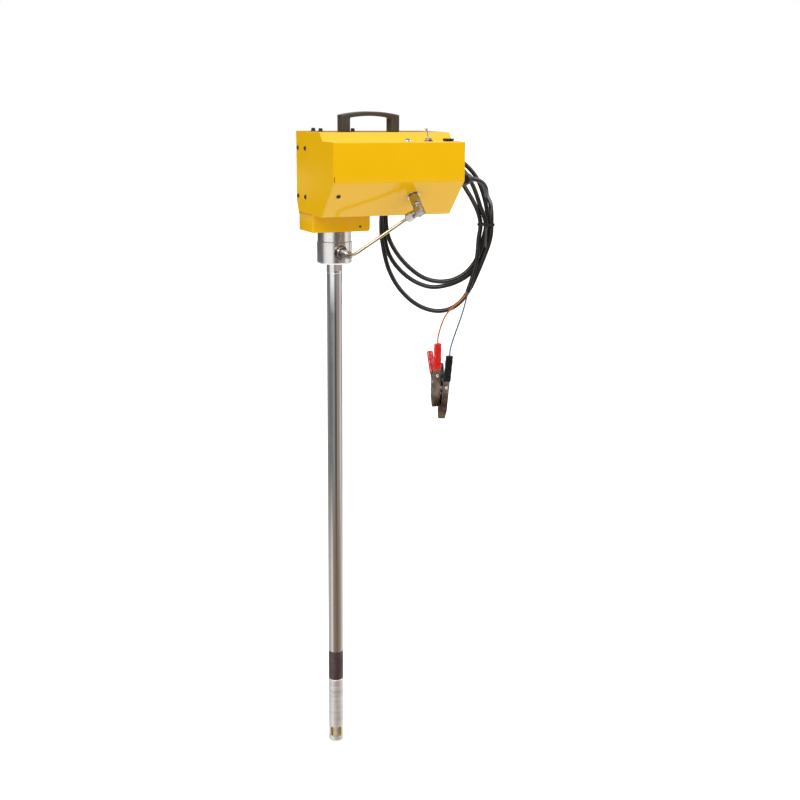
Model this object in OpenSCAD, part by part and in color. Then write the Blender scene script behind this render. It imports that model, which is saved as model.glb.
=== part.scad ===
// Electric grease pump for drums. Origin: the suction tube's axis at the pump block's underside.
// +Z up, +X along the housing to the cable gland, -Y the front.

/* [Suction tube] */
// Outside diameter of the suction tube and foot, mm
tube_d = 28; // [27:0.5:30]
// Underside of the pump block to the end of the foot, mm
tube_reach = 936; // [636:20:1036]
// Stroke of the pump rod, mm
stroke = 24; // [12:2:24]

/* [Pump block] */
// Diameter of the lower block, mm
block_d = 62; // [60:1:64]
// Major diameter of the outlet thread, mm
outlet_d = 13.157; // [9.728:0.001:13.157]
// Depth of the outlet thread, mm
outlet_depth = 13; // [10:1:14]

/* [Housing] */
// Length of the housing, mm
housing_w = 242; // [236:1:242]
// Thickness of the sheet, mm
sheet_t = 1.5; // [1:0.1:1.6]

/* [Controls] */
// Lean of the switch lever at rest, degrees
lever_tilt = 14; // [10:1:16]
// Diameter of the fuse cap, mm
fuse_cap_d = 20; // [16:1:20]

/* [Cable] */
// Diameter of the black cable, mm
cable_d = 8.5; // [7.5:0.5:8.5]
// Diameter of the two wires, mm
wire_d = 3; // [2:0.5:3]

/* [Clamps] */
// Lean of the black clamp, degrees
black_lean = 5.5; // [0:0.5:6]
// Opening of the moving arms at rest, degrees
jaw_open = 0; // [0:1:20]

/* [Hidden] */
$fn = 48;

t = sheet_t;
x0 = -54;                 // left end of the housing
x1 = x0 + housing_w;      // right end
rt = tube_d/2;            // suction tube, outside
ri = rt - 2;              // suction tube, inside
zf = -tube_reach;         // end of the foot
zc0 = zf + 131;           // pump cylinder, lower shoulder
zc1 = zc0 + 58;           // pump cylinder, upper shoulder
zport = 21.5;             // height of both block ports
zsplit = 38.6;            // gasket between the block halves
zblock = 86;              // top of the block
zcrank = 150;             // crankshaft height
rcrank = stroke/2;
zyoke = zcrank - rcrank;  // yoke slot at the bottom of the stroke
gear_a = 45.2;            // crankshaft to motor shaft
prof = [[47,229],[-71,229],[-84,215],[-134,215],[-134,148.5],[-78,88],[37,88],[47,110]];
sl_a = atan2(60.5, -56);  // slanted panel: turns +Z to its outward side
sl_o = [-134, 148.5];     // its upper crease
sl_u = [56, -60.5]/norm([56, -60.5]);
ctl_y = -109;             // controls on the ledge
ctl_z = 215;
grip_x = [4,95.5];          // feet of the carrying handle

// ---- helpers
function unit(v) = v/norm(v);
function miter(P, i, d) = let(n = len(P), a = P[(i+n-1)%n], b = P[i], c = P[(i+1)%n],
    u = unit(b-a), v = unit(c-b), nu = [-u[1],u[0]], nv = [-v[1],v[0]])
    b + d*(nu+nv)/(1+nu*nv);
function inset(P, d) = [for (i = [0:len(P)-1]) miter(P, i, d)];
module cx(r, xa, xb, y, z, f = 48) translate([xa,y,z]) rotate([0,90,0]) cylinder(r = r, h = xb-xa, $fn = f);
module cy(r, ya, yb, x, z, f = 48) translate([x,yb,z]) rotate([90,0,0]) cylinder(r = r, h = yb-ya, $fn = f);
module cz(r, za, zb, x = 0, y = 0, f = 48) translate([x,y,za]) cylinder(r = r, h = zb-za, $fn = f);
module box(a, b) translate(a) cube(b-a);
module hexz(af, za, zb, x = 0, y = 0) translate([x,y,za]) cylinder(r = af/2/cos(30), h = zb-za, $fn = 6);
module along_x(xa, xb) translate([xa,0,0]) rotate([90,0,90]) linear_extrude(height = xb-xa) children();
// Z of the children points out of the slanted panel, s mm down from its upper crease
module slant(x, s) translate([x, sl_o[0]+sl_u[0]*s, sl_o[1]+sl_u[1]*s]) rotate([sl_a,0,0]) children();
function slant_pt(x, s, p) = [x+p[0], sl_o[0]+sl_u[0]*s + p[1]*cos(sl_a) - p[2]*sin(sl_a), sl_o[1]+sl_u[1]*s + p[1]*sin(sl_a) + p[2]*cos(sl_a)];
module frame_of(o, d) translate(o) rotate([0, acos(d[2]), atan2(d[1], d[0])]) children();

// ---- swept cords: rings of n points, carried along without twist
function tang(P, i) = unit(P[min(i+1,len(P)-1)] - P[max(i-1,0)]);
function nrm0(d) = unit(cross(d, abs(d[2]) < 0.8 ? [0,0,1] : [1,0,0]));
function norms(P) = [for (i = 0, q = nrm0(tang(P,0)); i < len(P); i = i+1, q = let(d = tang(P, min(i,len(P)-1))) unit(q - (q*d)*d)) q];
module cord(P, d, n) {
  N = norms(P);
  m = len(P);
  pts = [for (i = [0:m-1]) let(a = N[i], b = cross(tang(P,i), a)) for (k = [0:n-1]) P[i] + d/2*(cos(360*k/n)*a + sin(360*k/n)*b)];
  polyhedron(points = pts, faces = concat(
    [[for (k = [0:n-1]) n-1-k]],
    [for (i = [0:m-2]) for (k = [0:n-1]) [i*n+k, i*n+(k+1)%n, (i+1)*n+(k+1)%n]],
    [for (i = [0:m-2]) for (k = [0:n-1]) [i*n+k, (i+1)*n+(k+1)%n, (i+1)*n+k]],
    [[for (k = [0:n-1]) (m-1)*n+k]]), convexity = 10);
}
// The loops hang in a plane turned 25 degrees: points are along it, out of it, up
ca = cos(25); sa = sin(25);
function coil(p) = [ca*p[0] + sa*(132+p[1]), -sa*p[0] + ca*(132+p[1]), p[2]];
gland_x = x1 + 27;
gland_z = 150.5;
cable_head = [[gland_x-9,-105,gland_z],[gland_x,-105,gland_z],[gland_x+12.8,-103.9,148.3],[gland_x+25.9,-100.1,142.4],[gland_x+35.2,-94.4,134.4],[gland_x+41.5,-86.8,126.7],
 [gland_x+49.4,-74.1,118.6],[gland_x+58.8,-60.8,114.1],[gland_x+68.1,-47.8,108.6],[gland_x+77.5,-34.6,104],[gland_x+86.5,-21.9,96.8],[gland_x+93.5,-12.1,85.6],[gland_x+97.7,-6.2,70.8],[gland_x+98.9,-4.5,56.9]];
cable_coil = [
 [286,-2.6,40],[282.5,-0.5,22],[274,0,-3],[262,0,-34],[249,0,-63],[232,0,-88],[213,0,-102],[190,0,-107],[166,0,-103],[141,0,-90],[113,0,-62],[94,0,-27],[84,0,12],[80,0,45],[81,0,80],[88,0,114],[103,0,146],[125,0,172],[150,0,186],
 [177,0,190],[204,0,184],[227,0,163],[248,0,134],[264,0,94],[276,0,58],[272,4,31],[267,8,8],[256,9,-16],[237,8,-37],[212,7,-49],[186,7,-51],[160,7,-44],[134,8,-26],[109,9,2],[93,9,33],[88,9,66],[91,9,101],[104,9,138],[126,9,169],[151,9,186],
 [177,9.5,190],[206,9.5,186],[234,9.5,169],[257,9.5,144],[273,9.5,105],[281,9.5,58],[279,11,31],[274,14,6],[265,17,-14],[250,16,-36],[228,15,-51],[203,14,-60],[175,14,-63],[144,15,-53],[115,17,-31],[95,18,-3],[86,18,28],[84,19,62],[89,19,100],[103,19,138],[126,19,169],[151,19,186],
 [177,19,190],[200,18,179],[219,12,156],[235,6,127],[250,2,103],[261,0,80],[266,0,58],[263,-1,30],[261,-4,0],[256,-7,-28],[250,-9,-50],[244,-9,-68]];
cable_pts = concat(cable_head, [for (p = cable_coil) coil(p)]);
cend = cable_pts[len(cable_pts)-1];
cdir = unit(cend - cable_pts[len(cable_pts)-2]);
cside = unit(cross(cdir, [0.42,0.91,0]));
red_at = [226,44.5,-246];
black_at = [243,41.7,-271];
red_top = red_at + [0,-8.5,77];
black_top = black_at + [77*sin(black_lean), -8.5, 77*cos(black_lean)];
function wire_from(s) = [cend + s*cside, cend + s*cside + 8*cdir];
orange_pts = concat(wire_from(-2), [for (p = [[228,-11,-88],[216,-12,-98],[205,-12,-111],[197,-11,-128],[192,-8,-146]]) coil(p)], [red_top + [0,0,10], red_top]);
blue_pts = concat(wire_from(2), [for (p = [[238,-11,-98],[232,-8,-120],[225,-4,-142],[219,0,-162]]) coil(p)], [black_top + 12*[sin(black_lean),0,cos(black_lean)], black_top]);

// ---- pressure pipe
el_at = [101.6, 33.4];                        // bulkhead on the slanted panel
el_ang = 49;                                  // the elbow's second leg, turned in the panel's plane
pe = slant_pt(el_at[0], el_at[1], [0,0,34.5]);
pd = unit(slant_pt(el_at[0], el_at[1], [-cos(el_ang),-sin(el_ang),34.5]) - pe);
pa = pe + 27.5*pd;                            // end of the elbow's nut
pb = pe + 37*pd;
pk = [0,-84,zport];
pn = [0,-70,zport];                           // end of the port's nut

// ---- housing
module shell_ring(xa, xb) difference() {
  along_x(xa, xb) polygon(prof);
  along_x(xa-1, xb+1) polygon(inset(prof, t));
}
module rear_zone(g) along_x(x0-5, x1+5) polygon([[47-t-g,240],[47-t-g,110+0.3],[37-t-g,88+0.4],[37-t-g,80],[60,80],[60,240]]);

module front_shell() color([0.94,0.73,0.03]) difference() {
  shell_ring(x0+t, x1-t);
  rear_zone(0.3);
  cz(10, 80, 95); for (a = [45:90:315]) cz(3.3, 80, 95, 22*cos(a), 22*sin(a), 24);
  slant(el_at[0], el_at[1]) cz(6.1, -5, 5);
  slant(-36.7, 31.4) cz(2.1, -5, 5, 0, 0, 24);
  cz(6.1, 205, 220, 91, ctl_y); cz(6.1, 205, 220, 130, ctl_y); cz(6.6, 205, 220, 168, ctl_y);
  for (x = grip_x) cz(3.1, 220, 235, x, -36, 24);
  for (x = [-25,35]) for (y = [0,36]) cz(2.1, 220, 235, x, y, 24);
}
module rear_shell() color([0.93,0.71,0.02]) difference() {
  union() {
    along_x(x0, x0+t) polygon(prof);
    along_x(x1-t, x1) polygon(prof);
    intersection() { shell_ring(x0+t/2, x1-t/2); rear_zone(0); }
    slant(x0+t, 12) box([0,-40,-2*t-0.05],[24,0,-t-0.05]);
  }
  slant(-36.7, 31.4) cz(1.95, -8, 5, 0, 0, 24);
  for (y = [-1.5,35]) for (z = [117.5,200.5]) cx(2.1, x0-2, x0+3, y, z, 24);
  cx(10.1, x1-3, x1+3, -105, gland_z);
  for (z = [172,196]) cx(2.05, x1-3, x1+3, -12, z, 24);
}
module skirt_bracket() color([0.93,0.71,0.02]) difference() {
  union() {
    box([x0,-35,86],[53.6,35,88]);
    difference() {
      union() { box([x0,-35,58],[53.6,-33,86]); box([x0,33,58],[53.6,35,86]); }
      for (s = [-1,1]) difference() { box([48.6,s*34-3,57],[54,s*34+3,63]); cy(5, s*34-4, s*34+4, 48.6, 63); }
    }
    box([x0,-33,58],[x0+2,33,86]);
  }
  cz(10, 80, 95); for (a = [45:90:315]) cz(3.3, 80, 95, 22*cos(a), 22*sin(a), 24);
  cy(1.7, -36, -32, 35, 66.5, 24);
}
module skirt_plug() color([0.25,0.25,0.15]) { cy(1.6, -35.2, -32.6, 35, 66.5, 24); cy(2.2, -35.5, -35, 35, 66.5, 32); }
module carry_handle() color([0.12,0.12,0.12]) difference() {
  intersection() { cy(249, -48, -24, 49.75, 14.4, 160); box([-4,-49,229],[103.5,-23,270]); }
  intersection() { cy(241.5, -50, -22, 49.75, 14.4, 160); box([11.5,-51,228],[88,-21,270]); }
  for (x = grip_x) cz(2.5, 228, 245, x, -36, 24);
}
module handle_screws() color([0.7,0.7,0.7]) for (x = grip_x) {
  cz(2.5, 229-t, 244, x, -36, 24); cz(5, 224-t, 229-t, x, -36, 24);
}
module button() { cz(1.95, -10, 0, 0, 0, 24); difference() { cz(3.9, 0, 2.2, 0, 0, 32); hexz(2.5, 1, 3); } }
module panel_screws() color([0.06,0.06,0.06]) {
  for (y = [-1.5,35]) for (z = [117.5,200.5]) translate([x0,y,z]) rotate([0,-90,0]) button();
  slant(-36.7, 31.4) button();
  for (z = [172,196]) translate([x1+3,-12,z]) rotate([0,90,0]) button();
}
module top_screws() color([0.06,0.06,0.06]) for (x = [-25,35]) for (y = [0,36]) translate([x,y,229]) {
  cz(1.95, -12, 1.2, 0, 0, 24); cz(4.5, 0, 1.2, 0, 0, 32); difference() { cz(3.5, 1.2, 5.4, 0, 0, 32); hexz(3, 3, 6); }
}

// ---- controls
module switch_body() color([0.75,0.75,0.77]) translate([130,ctl_y,ctl_z]) difference() {
  union() { cz(6, -t-1.5, 5.5); box([-13,-8,-t-29],[13,8,-t-1]); for (x = [-8,0,8]) box([x-1,-3,-t-36],[x+1,3,-t-28]); }
  cz(3.4, -1, 6);
}
module switch_nut() color([0.78,0.78,0.8]) translate([130,ctl_y,ctl_z]) difference() {
  hexz(15, 0, 2.6); cz(6.03, -1, 4);
}
module switch_lever() color([0.82,0.82,0.84]) translate([130,ctl_y,ctl_z+2]) rotate([0,-lever_tilt,0]) {
  sphere(r = 2.6, $fn = 32); translate([0,0,1.5]) cylinder(r1 = 1.6, r2 = 2.6, h = 18.5, $fn = 32); translate([0,0,20]) sphere(r = 2.6, $fn = 32);
}
module lamp_body() color([0.75,0.78,0.76]) translate([91,ctl_y,ctl_z]) difference() {
  union() { cz(6, -26, 1); cz(7, 0, 2.2); }
  cz(4.8, -8, 4);
}
module lamp_lens() color([0.1,0.65,0.35]) translate([91,ctl_y,ctl_z]) intersection() {
  union() { cz(4.75, -7.5, 2); translate([0,0,-0.2]) sphere(r = 5.3, $fn = 48); }
  cz(4.75, -7.5, 6);
}
module fuse_body() color([0.07,0.07,0.07]) translate([168,ctl_y,ctl_z]) difference() {
  union() { cz(6.5, -38, 0.5); cz(9, 0, 1.2); }
  cz(4.2, -34, 3);
}
module fuse_cap() color([0.07,0.07,0.07]) translate([168,ctl_y,ctl_z]) {
  difference() { cz(fuse_cap_d/2, 1.5, 4.6); box([-6,-0.8,3.8],[6,0.8,5]); for (a = [0:30:330]) cz(0.8, 1, 6, (fuse_cap_d/2+0.1)*cos(a), (fuse_cap_d/2+0.1)*sin(a), 16); }
  cz(4, -30, 1.6, 0, 0, 32);
}
module gland_body() color([0.07,0.07,0.07]) translate([x1,-105,gland_z]) rotate([0,90,0]) difference() {
  union() { cz(10, -11, 1); cz(14.2, 0, 1.4); hexz(24, 1.4, 8); hexz(26, -t-6, -t); cz(9.4, 8, 12); }
  cz(4.6, -12, 14);
}
module gland_nut() color([0.07,0.07,0.07]) translate([x1,-105,gland_z]) rotate([0,90,0]) difference() {
  union() { hexz(24, 8.4, 17); translate([0,0,17]) cylinder(r1 = 11.6, r2 = 7, h = 10, $fn = 48); }
  cz(9.5, 8, 12.2); cz(4.6, 12, 28);
}
module cable_hook() color([0.12,0.12,0.13]) {
  difference() { box([x1,-26,164],[x1+3,8,204]); for (z = [172,196]) cx(2.05, x1-1, x1+4, -12, z, 24); }
  rotate([0,0,-25]) translate([177,0,0]) { cy(4, 76, 164, 0, 181.4, 32); cy(13, 161, 164, 0, 184); }
}

// ---- cable, tie and wires
module power_cable() color([0.08,0.08,0.08]) cord(cable_pts, cable_d, 10);
module orange_wire() color([0.85,0.38,0.08]) cord(orange_pts, wire_d, 8);
module blue_wire() color([0.22,0.32,0.6]) cord(blue_pts, wire_d, 8);
module tie_band(r, z, h) hull() for (p = [[266,0],[286.4,-3.4],[281,9.5]]) translate([p[0],132+p[1],z]) cylinder(r = r, h = h, $fn = 32);
module cable_tie() color([0.1,0.1,0.1]) rotate([0,0,-25]) {
  difference() { tie_band(cable_d/2+2.1, 55.6, 4.8); tie_band(cable_d/2+0.9, 50, 15); }
  box([273,132-cable_d/2-7.2,54.6],[279,132-cable_d/2-2.7,61.4]);
  box([274,132-cable_d/2-6.6,16],[278,132-cable_d/2-5.4,55.6]);
}

// ---- battery clamps: pivot at the origin along X, jaws down, wire handle on the -Y side
teeth = [for (z = [-18:-4:-42]) each [[-0.5,z],[-2.1,z-2]]];
module jaw_side() polygon(concat([[-9,24],[-6,24],[-3.5,10],[3,6],[4,0],[3,-6],[-0.5,-14]], teeth, [[-0.5,-46.5],[-2,-49],[-4.2,-49],[-9,-32]]));
module arm_side() polygon(concat([[-3,5],[1,8],[9.9,10.4],[10.9,10.4],[9,5],[9,-32],[4.2,-49],[2,-49],[0.5,-46.5]], [for (i = [len(teeth)-1:-1:0]) [-teeth[i][0], teeth[i][1]]], [[0.5,-14],[-3,-6],[-4,0]]));
module clamp_jaw() difference() {
  union() {
    along_x(-7, 7) polygon([[-9,74],[-8,74],[-8,-31.8],[-3.16,-49],[-4.2,-49],[-9,-32]]);
    for (x = [-7,6]) along_x(x, x+1) jaw_side();
  }
  cx(2, -9, 9, 0, 0, 32); cy(1.6, -12, -5, 0, 13, 24);
}
module clamp_arm() difference() {
  union() {
    along_x(-5.4, 5.4) polygon([[9,-32],[9,5],[25.5,52],[24.55,52.33],[8,5.2],[8,-31.8],[3.16,-49],[4.2,-49]]);
    for (x = [-5.4,4.4]) along_x(x, x+1) arm_side();
  }
  cx(2.06, -9, 9, 0, 0, 32);
}
module clamp_grip() difference() {
  union() { box([-7.2,-12.4,26],[7.2,-4.6,77]); }
  box([-7.02,-9.02,20],[7.02,-7.98,74.1]);
}
module clamp_arm_grip() translate([0,8.5,5.2]) rotate([-19.35,0,0]) difference() {
  box([-6.6,-3.6,8],[6.6,3.6,54]);
  box([-5.45,-0.56,0],[5.45,0.56,50.5]);
}
module clamp_pivot() { cx(2, -8, 8, 0, 0, 32); cx(3.2, -8.2, -7.05, 0, 0, 32); cx(3.2, 7.05, 8.2, 0, 0, 32); }
module clamp_spring() { difference() { cx(3.9, -3.6, 3.6, 0, 0, 32); cx(2.7, -4, 4, 0, 0, 32); }
  frame_of([2.9,-2.9,1], unit([0,-4.2,14])) cylinder(r = 0.6, h = 14.4, $fn = 16);
  frame_of([-2.6,2.9,1], unit([0,4.4,5.6])) cylinder(r = 0.6, h = 4.8, $fn = 16); }
module wire_rivet() difference() { union() { cy(3.3, -10.2, -9, 0, 13, 32); cy(1.6, -10, -6.4, 0, 13, 24); cy(2.2, -8, -6.4, 0, 13, 32); } cy(0.9, -11, -8.4, 0, 13, 16); }
module at_red() translate(red_at) children();
module at_black() translate(black_at) rotate([0,black_lean,0]) children();
module open_arm() rotate([jaw_open,0,0]) children();
module red_jaw() color([0.62,0.6,0.56]) at_red() clamp_jaw();
module red_arm() color([0.62,0.6,0.56]) at_red() open_arm() clamp_arm();
module red_grip() color([0.85,0.05,0.04]) at_red() clamp_grip();
module red_arm_grip() color([0.85,0.05,0.04]) at_red() open_arm() clamp_arm_grip();
module black_jaw() color([0.62,0.6,0.56]) at_black() clamp_jaw();
module black_arm() color([0.62,0.6,0.56]) at_black() open_arm() clamp_arm();
module black_grip() color([0.05,0.05,0.05]) at_black() clamp_grip();
module black_arm_grip() color([0.05,0.05,0.05]) at_black() open_arm() clamp_arm_grip();
module jaw_pivots() color([0.7,0.68,0.62]) { at_red() clamp_pivot(); at_black() clamp_pivot(); }
module jaw_springs() color([0.5,0.5,0.5]) { at_red() clamp_spring(); at_black() clamp_spring(); }
module wire_rivets() color([0.8,0.8,0.78]) { at_red() wire_rivet(); at_black() wire_rivet(); }

// ---- fittings and the pressure pipe
module bulkhead_body() color([0.75,0.74,0.72]) slant(el_at[0], el_at[1]) difference() {
  union() { cz(6, -t-14, 24); cz(11, 0, 1.5); hexz(17, 1.5, 20.4); }
  cz(2.5, -t-20, 26, 0, 0, 24);
}
module pipe_elbow() color([0.75,0.74,0.72]) slant(el_at[0], el_at[1]) difference() {
  union() {
    cz(8.3, 21.6, 27); translate([0,0,34.5]) rotate([0,0,el_ang]) box([-7.5,-7.5,-8.5],[7.5,7.5,8]);
    translate([0,0,34.5]) rotate([0,0,180+el_ang]) { cx(7, 7, 12.4, 0, 0); cx(5, 12, 18, 0, 0); }
  }
  cz(6.03, 20, 24.1); cz(2.5, 20, 34.5, 0, 0, 24);
  translate([0,0,34.5]) rotate([0,0,180+el_ang]) cx(3.03, 5, 19, 0, 0, 32);
}
module pipe_nut(l) difference() { hexz(14, 0, l); cz(5.05, -1, l-8.9); cz(3.03, -1, l+1, 0, 0, 32); }
module pipe_nuts() color([0.7,0.68,0.64]) {
  frame_of(pe + 13.4*pd, pd) pipe_nut(14.1);
  frame_of([0,-55.9,zport], [0,-1,0]) pipe_nut(14.1);
}
module rod_to(p, q, r) frame_of(p, unit(q-p)) cylinder(r = r, h = norm(q-p), $fn = 32);
// The pipe's route: two short bends, each as straight lengths with a ball at every corner
function b_t(a, b, R) = R*tan(acos(a*b)/2);
function arc(c, a, b, R, n) = let(m = unit(b - (a*b)*a), s = c - b_t(a,b,R)*a, o = s + R*m)
  [for (i = [0:n]) o + R*(sin(acos(a*b)*i/n)*a - cos(acos(a*b)*i/n)*m)];
pq = unit(pk-pb);
pipe_pts = concat([pe + 14*pd], arc(pb, pd, pq, 40, 1), arc(pk, pq, [0,1,0], 17, 5), [[0,-56.5,zport]]);
module pressure_pipe() color([0.72,0.68,0.52]) {
  for (i = [0:len(pipe_pts)-2]) rod_to(pipe_pts[i], pipe_pts[i+1], 3);
  for (i = [1:len(pipe_pts)-2]) translate(pipe_pts[i]) sphere(r = 3.02, $fn = 32);
}
module port_adapter() color([0.55,0.53,0.5]) difference() {
  union() { cy(12.5, -32, -29, 0, zport, 64); frame_of([0,-32,zport], [0,-1,0]) hexz(19, 0, 9); cy(7.2, -54.6, -40, 0, zport); cy(5, -60.5, -54, 0, zport); cy(6.5, -29.5, -17, 0, zport); }
  cy(2.5, -62, -16, 0, zport, 24); cy(3.03, -62, -52, 0, zport, 32);
}

// ---- pump block
module block_bolt_holes(r, za, zb) for (a = [45:90:315]) cz(r, za, zb, 22*cos(a), 22*sin(a), 24);
module block_upper() color([0.75,0.74,0.73]) difference() {
  cz(30, zsplit+0.6, zblock, 0, 0, 96);
  cz(7, zsplit, zblock+1); cz(9, 68, zblock+1);
  block_bolt_holes(3.1, zsplit, zblock+1);
}
module block_gasket() color([0.8,0.62,0.25]) difference() {
  cz(30.5, zsplit, zsplit+0.6, 0, 0, 96); cz(7, zsplit-1, zsplit+2); block_bolt_holes(3.1, zsplit-1, zsplit+2);
}
module block_lower() color([0.74,0.73,0.72]) difference() {
  union() { cz(block_d/2, 2.5, zsplit, 0, 0, 96); cylinder(r1 = block_d/2-2.5, r2 = block_d/2, h = 2.5, $fn = 96); }
  cz(rt+0.5, -1, 1.5, 0, 0, 96); cz(10, -1, 16); cz(7, 15, zsplit+1);
  cy(13.5, -40, -29, 0, zport, 64); cy(13.5, 29, 40, 0, zport, 64);
  cy(6.5, -35, -16, 0, zport); cy(2.5, -20, 0, 0, zport, 24);
  cy(outlet_d/2, 29-outlet_depth, 35, 0, zport, 64); cy(2.5, 0, 20, 0, zport, 24);
  block_bolt_holes(3, 22, zsplit+1);
}
module tube_neck() color([0.72,0.72,0.71]) difference() {
  union() {
    difference() { cz(rt+0.3, -17.5, 1.5, 0, 0, 96); rotate([0,0,14]) for (s = [-1,1]) translate([0,s*(rt+11),0]) box([-20,-12.5,-13],[20,12.5,-2]); }
    cz(10, 1, 15.5); cz(ri, -30, -17.4);
  }
  cz(7, -31, 20);
}
module suction_tube() color([0.85,0.85,0.85]) difference() { cz(rt, zc1, -17.5, 0, 0, 96); cz(ri, zc1-1, -16, 0, 0, 96); }
module pump_cylinder() color([0.24,0.22,0.22]) difference() {
  union() { cz(rt, zc0, zc1, 0, 0, 96); cz(ri, zc0-12, zc1+20, 0, 0, 96); }
  cz(9, zc0-20, zc1+30, 0, 0, 64);
}
module foot_tube() color([0.8,0.81,0.8]) difference() {
  union() { cz(rt, zf+3, zc0, 0, 0, 96); translate([0,0,zf]) cylinder(r1 = rt-3, r2 = rt, h = 3, $fn = 96); }
  cz(ri, zf+3, zc0+1, 0, 0, 96); cz(8, zf-1, zf+5);
  for (a = [0:60:300]) rotate([0,0,a-82]) { box([8,-3.75,zf+13.75],[20,3.75,zf+27.25]); for (z = [zf+13.75,zf+27.25]) cx(3.75, 8, 20, 0, z, 24); }
}
module valve_seat() color([0.8,0.62,0.25]) difference() { cz(ri, zf+88, zf+96, 0, 0, 64); cz(7, zf+80, zf+100); }
module valve_ring() color([0.4,0.4,0.42]) difference() { cz(9.5, zf+96.05, zf+101); cz(4.08, zf+90, zf+110, 0, 0, 32); }
module pump_rod() color([0.7,0.7,0.72]) { cz(4, zf+8, zyoke-14, 0, 0, 48); }
module piston() color([0.8,0.62,0.25]) difference() { cz(8.95, zc0+10, zc0+28, 0, 0, 64); cz(4, zc0+9, zc0+29, 0, 0, 48); for (a = [0:60:300]) cz(1.3, zc0+9, zc0+29, 6.5*cos(a), 6.5*sin(a), 16); }
module shovel_piston() color([0.8,0.6,0.28]) difference() { cz(10.6, zf+9, zf+35, 0, 0, 64); cz(4, zf+5, zf+36, 0, 0, 48); }
module rod_seal() color([0.1,0.1,0.1]) difference() { cz(9, 68, zblock, 0, 0); cz(4.05, 60, 90, 0, 0, 48); }

// ---- drive
function invo(x) = tan(x)*180/PI - x;
function psi(z, rb, r) = 90/z - 0.35*15/z + invo(25) - invo(acos(min(1, rb/r)));
module gear2d(z, ph) {
  rp = z; rb = rp*cos(25); ro = rp+1.8; rr = rp-2.3; rs = max(rb, rr)+0.02;
  R = [rs, rs+(ro-rs)*0.3, rs+(ro-rs)*0.65, ro];
  polygon([for (k = [0:z-1]) let(c = ph + 360*k/z) each concat([rr*[cos(c-psi(z,rb,rs)), sin(c-psi(z,rb,rs))]],
    [for (r = R) r*[cos(c-psi(z,rb,r)), sin(c-psi(z,rb,r))]],
    [for (i = [3:-1:0]) R[i]*[cos(c+psi(z,rb,R[i])), sin(c+psi(z,rb,R[i]))]],
    [rr*[cos(c+psi(z,rb,rs)), sin(c+psi(z,rb,rs))]])]);
}
module gear_case() color([0.62,0.63,0.65]) difference() {
  union() {
    box([x0+t,-34,88+t],[50,34,98+t]);
    box([x0+t,-34,88+t],[-44.5,34,229-t]); box([x0+t,33,112],[-44.5,44,229-t]);
    box([32,-40,98],[42,34,229-t]); box([32,33,112],[42,44,229-t]);
    box([x0+t,-8,216],[42,44,229-t]);
  }
  cz(10, 80, 110); block_bolt_holes(3.3, 80, 110); for (a = [45:90:315]) cz(5.2, 94, 110, 22*cos(a), 22*sin(a), 24);
  cx(21, 31, 43, 0, zcrank, 64); cx(8, 31, 43, 0, zcrank+gear_a);
  for (y = [-1.5,35]) for (z = [117.5,200.5]) cx(1.95, x0, x0+15, y, z, 24);
  for (x = [-25,35]) for (y = [0,36]) cz(1.95, 214, 230, x, y, 24);
}
module frame_bolts() color([0.3,0.3,0.3]) for (a = [45:90:315]) translate([22*cos(a),22*sin(a),0]) { cz(3, 22, 94, 0, 0, 24); difference() { cz(5, 94, 100, 0, 0, 32); hexz(5, 97, 101); } }
module crank_bearing() color([0.7,0.7,0.72]) difference() { cx(21, 32, 42, 0, zcrank, 64); cx(10.04, 31, 43, 0, zcrank, 64); }
module crankshaft() color([0.5,0.5,0.53]) {
  translate([0,0,zcrank]) along_x(14, 26) gear2d(30, 90);
  cx(10, 12, 46, 0, zcrank, 64); cx(20, 8, 14, 0, zcrank, 64);
  cx(5, 6.5, 10, 0, zcrank-rcrank);
}
module pinion() color([0.5,0.5,0.53]) {
  translate([0,0,zcrank+gear_a]) along_x(13, 27) gear2d(15, -90+12);
  cx(5, 10, 56, 0, zcrank+gear_a);
}
module gear_motor() color([0.25,0.26,0.28]) difference() {
  union() { cx(28, 42, 82, 0, zcrank+gear_a, 96); cx(30, 82, 160, 0, zcrank+gear_a, 96); cx(14, 160, 168, 0, zcrank+gear_a); }
  cx(5.04, 41, 58, 0, zcrank+gear_a);
}
module rod_yoke() color([0.55,0.55,0.57]) difference() {
  union() { box([-6,-24,zyoke-10],[6,24,zyoke+10]); cz(6, zyoke-32, zyoke-9); }
  box([-7,-12,zyoke-5.1],[7,12,zyoke+5.1]); for (y = [-12,12]) cx(5.1, -7, 7, y, zyoke);
  cz(4, zyoke-40, zyoke-14);
}
module pressure_switch() color([0.2,0.2,0.22]) slant(el_at[0], el_at[1]) difference() {
  union() { hexz(24, -t-14, -t); cz(13, -t-46, -t-14); for (y = [-5,5]) box([-3,y-0.4,-t-54],[3,y+0.4,-t-46]); }
  cz(6.03, -t-14.1, 1);
}
module relay_board() color([0.1,0.35,0.18]) {
  difference() { box([x1-t-6,-76,105],[x1-t-4.4,-22,205]); for (z = [110,200]) for (y = [-71,-27]) cx(1.6, x1-t-8, x1, y, z, 16); }
  for (z = [110,200]) for (y = [-71,-27]) cx(3, x1-t-4.4, x1-t, y, z, 24);
  box([x1-t-22,-68,118],[x1-t-6,-48,146]); box([x1-t-22,-68,152],[x1-t-6,-48,180]); box([x1-t-18,-42,118],[x1-t-6,-30,160]);
}

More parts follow.
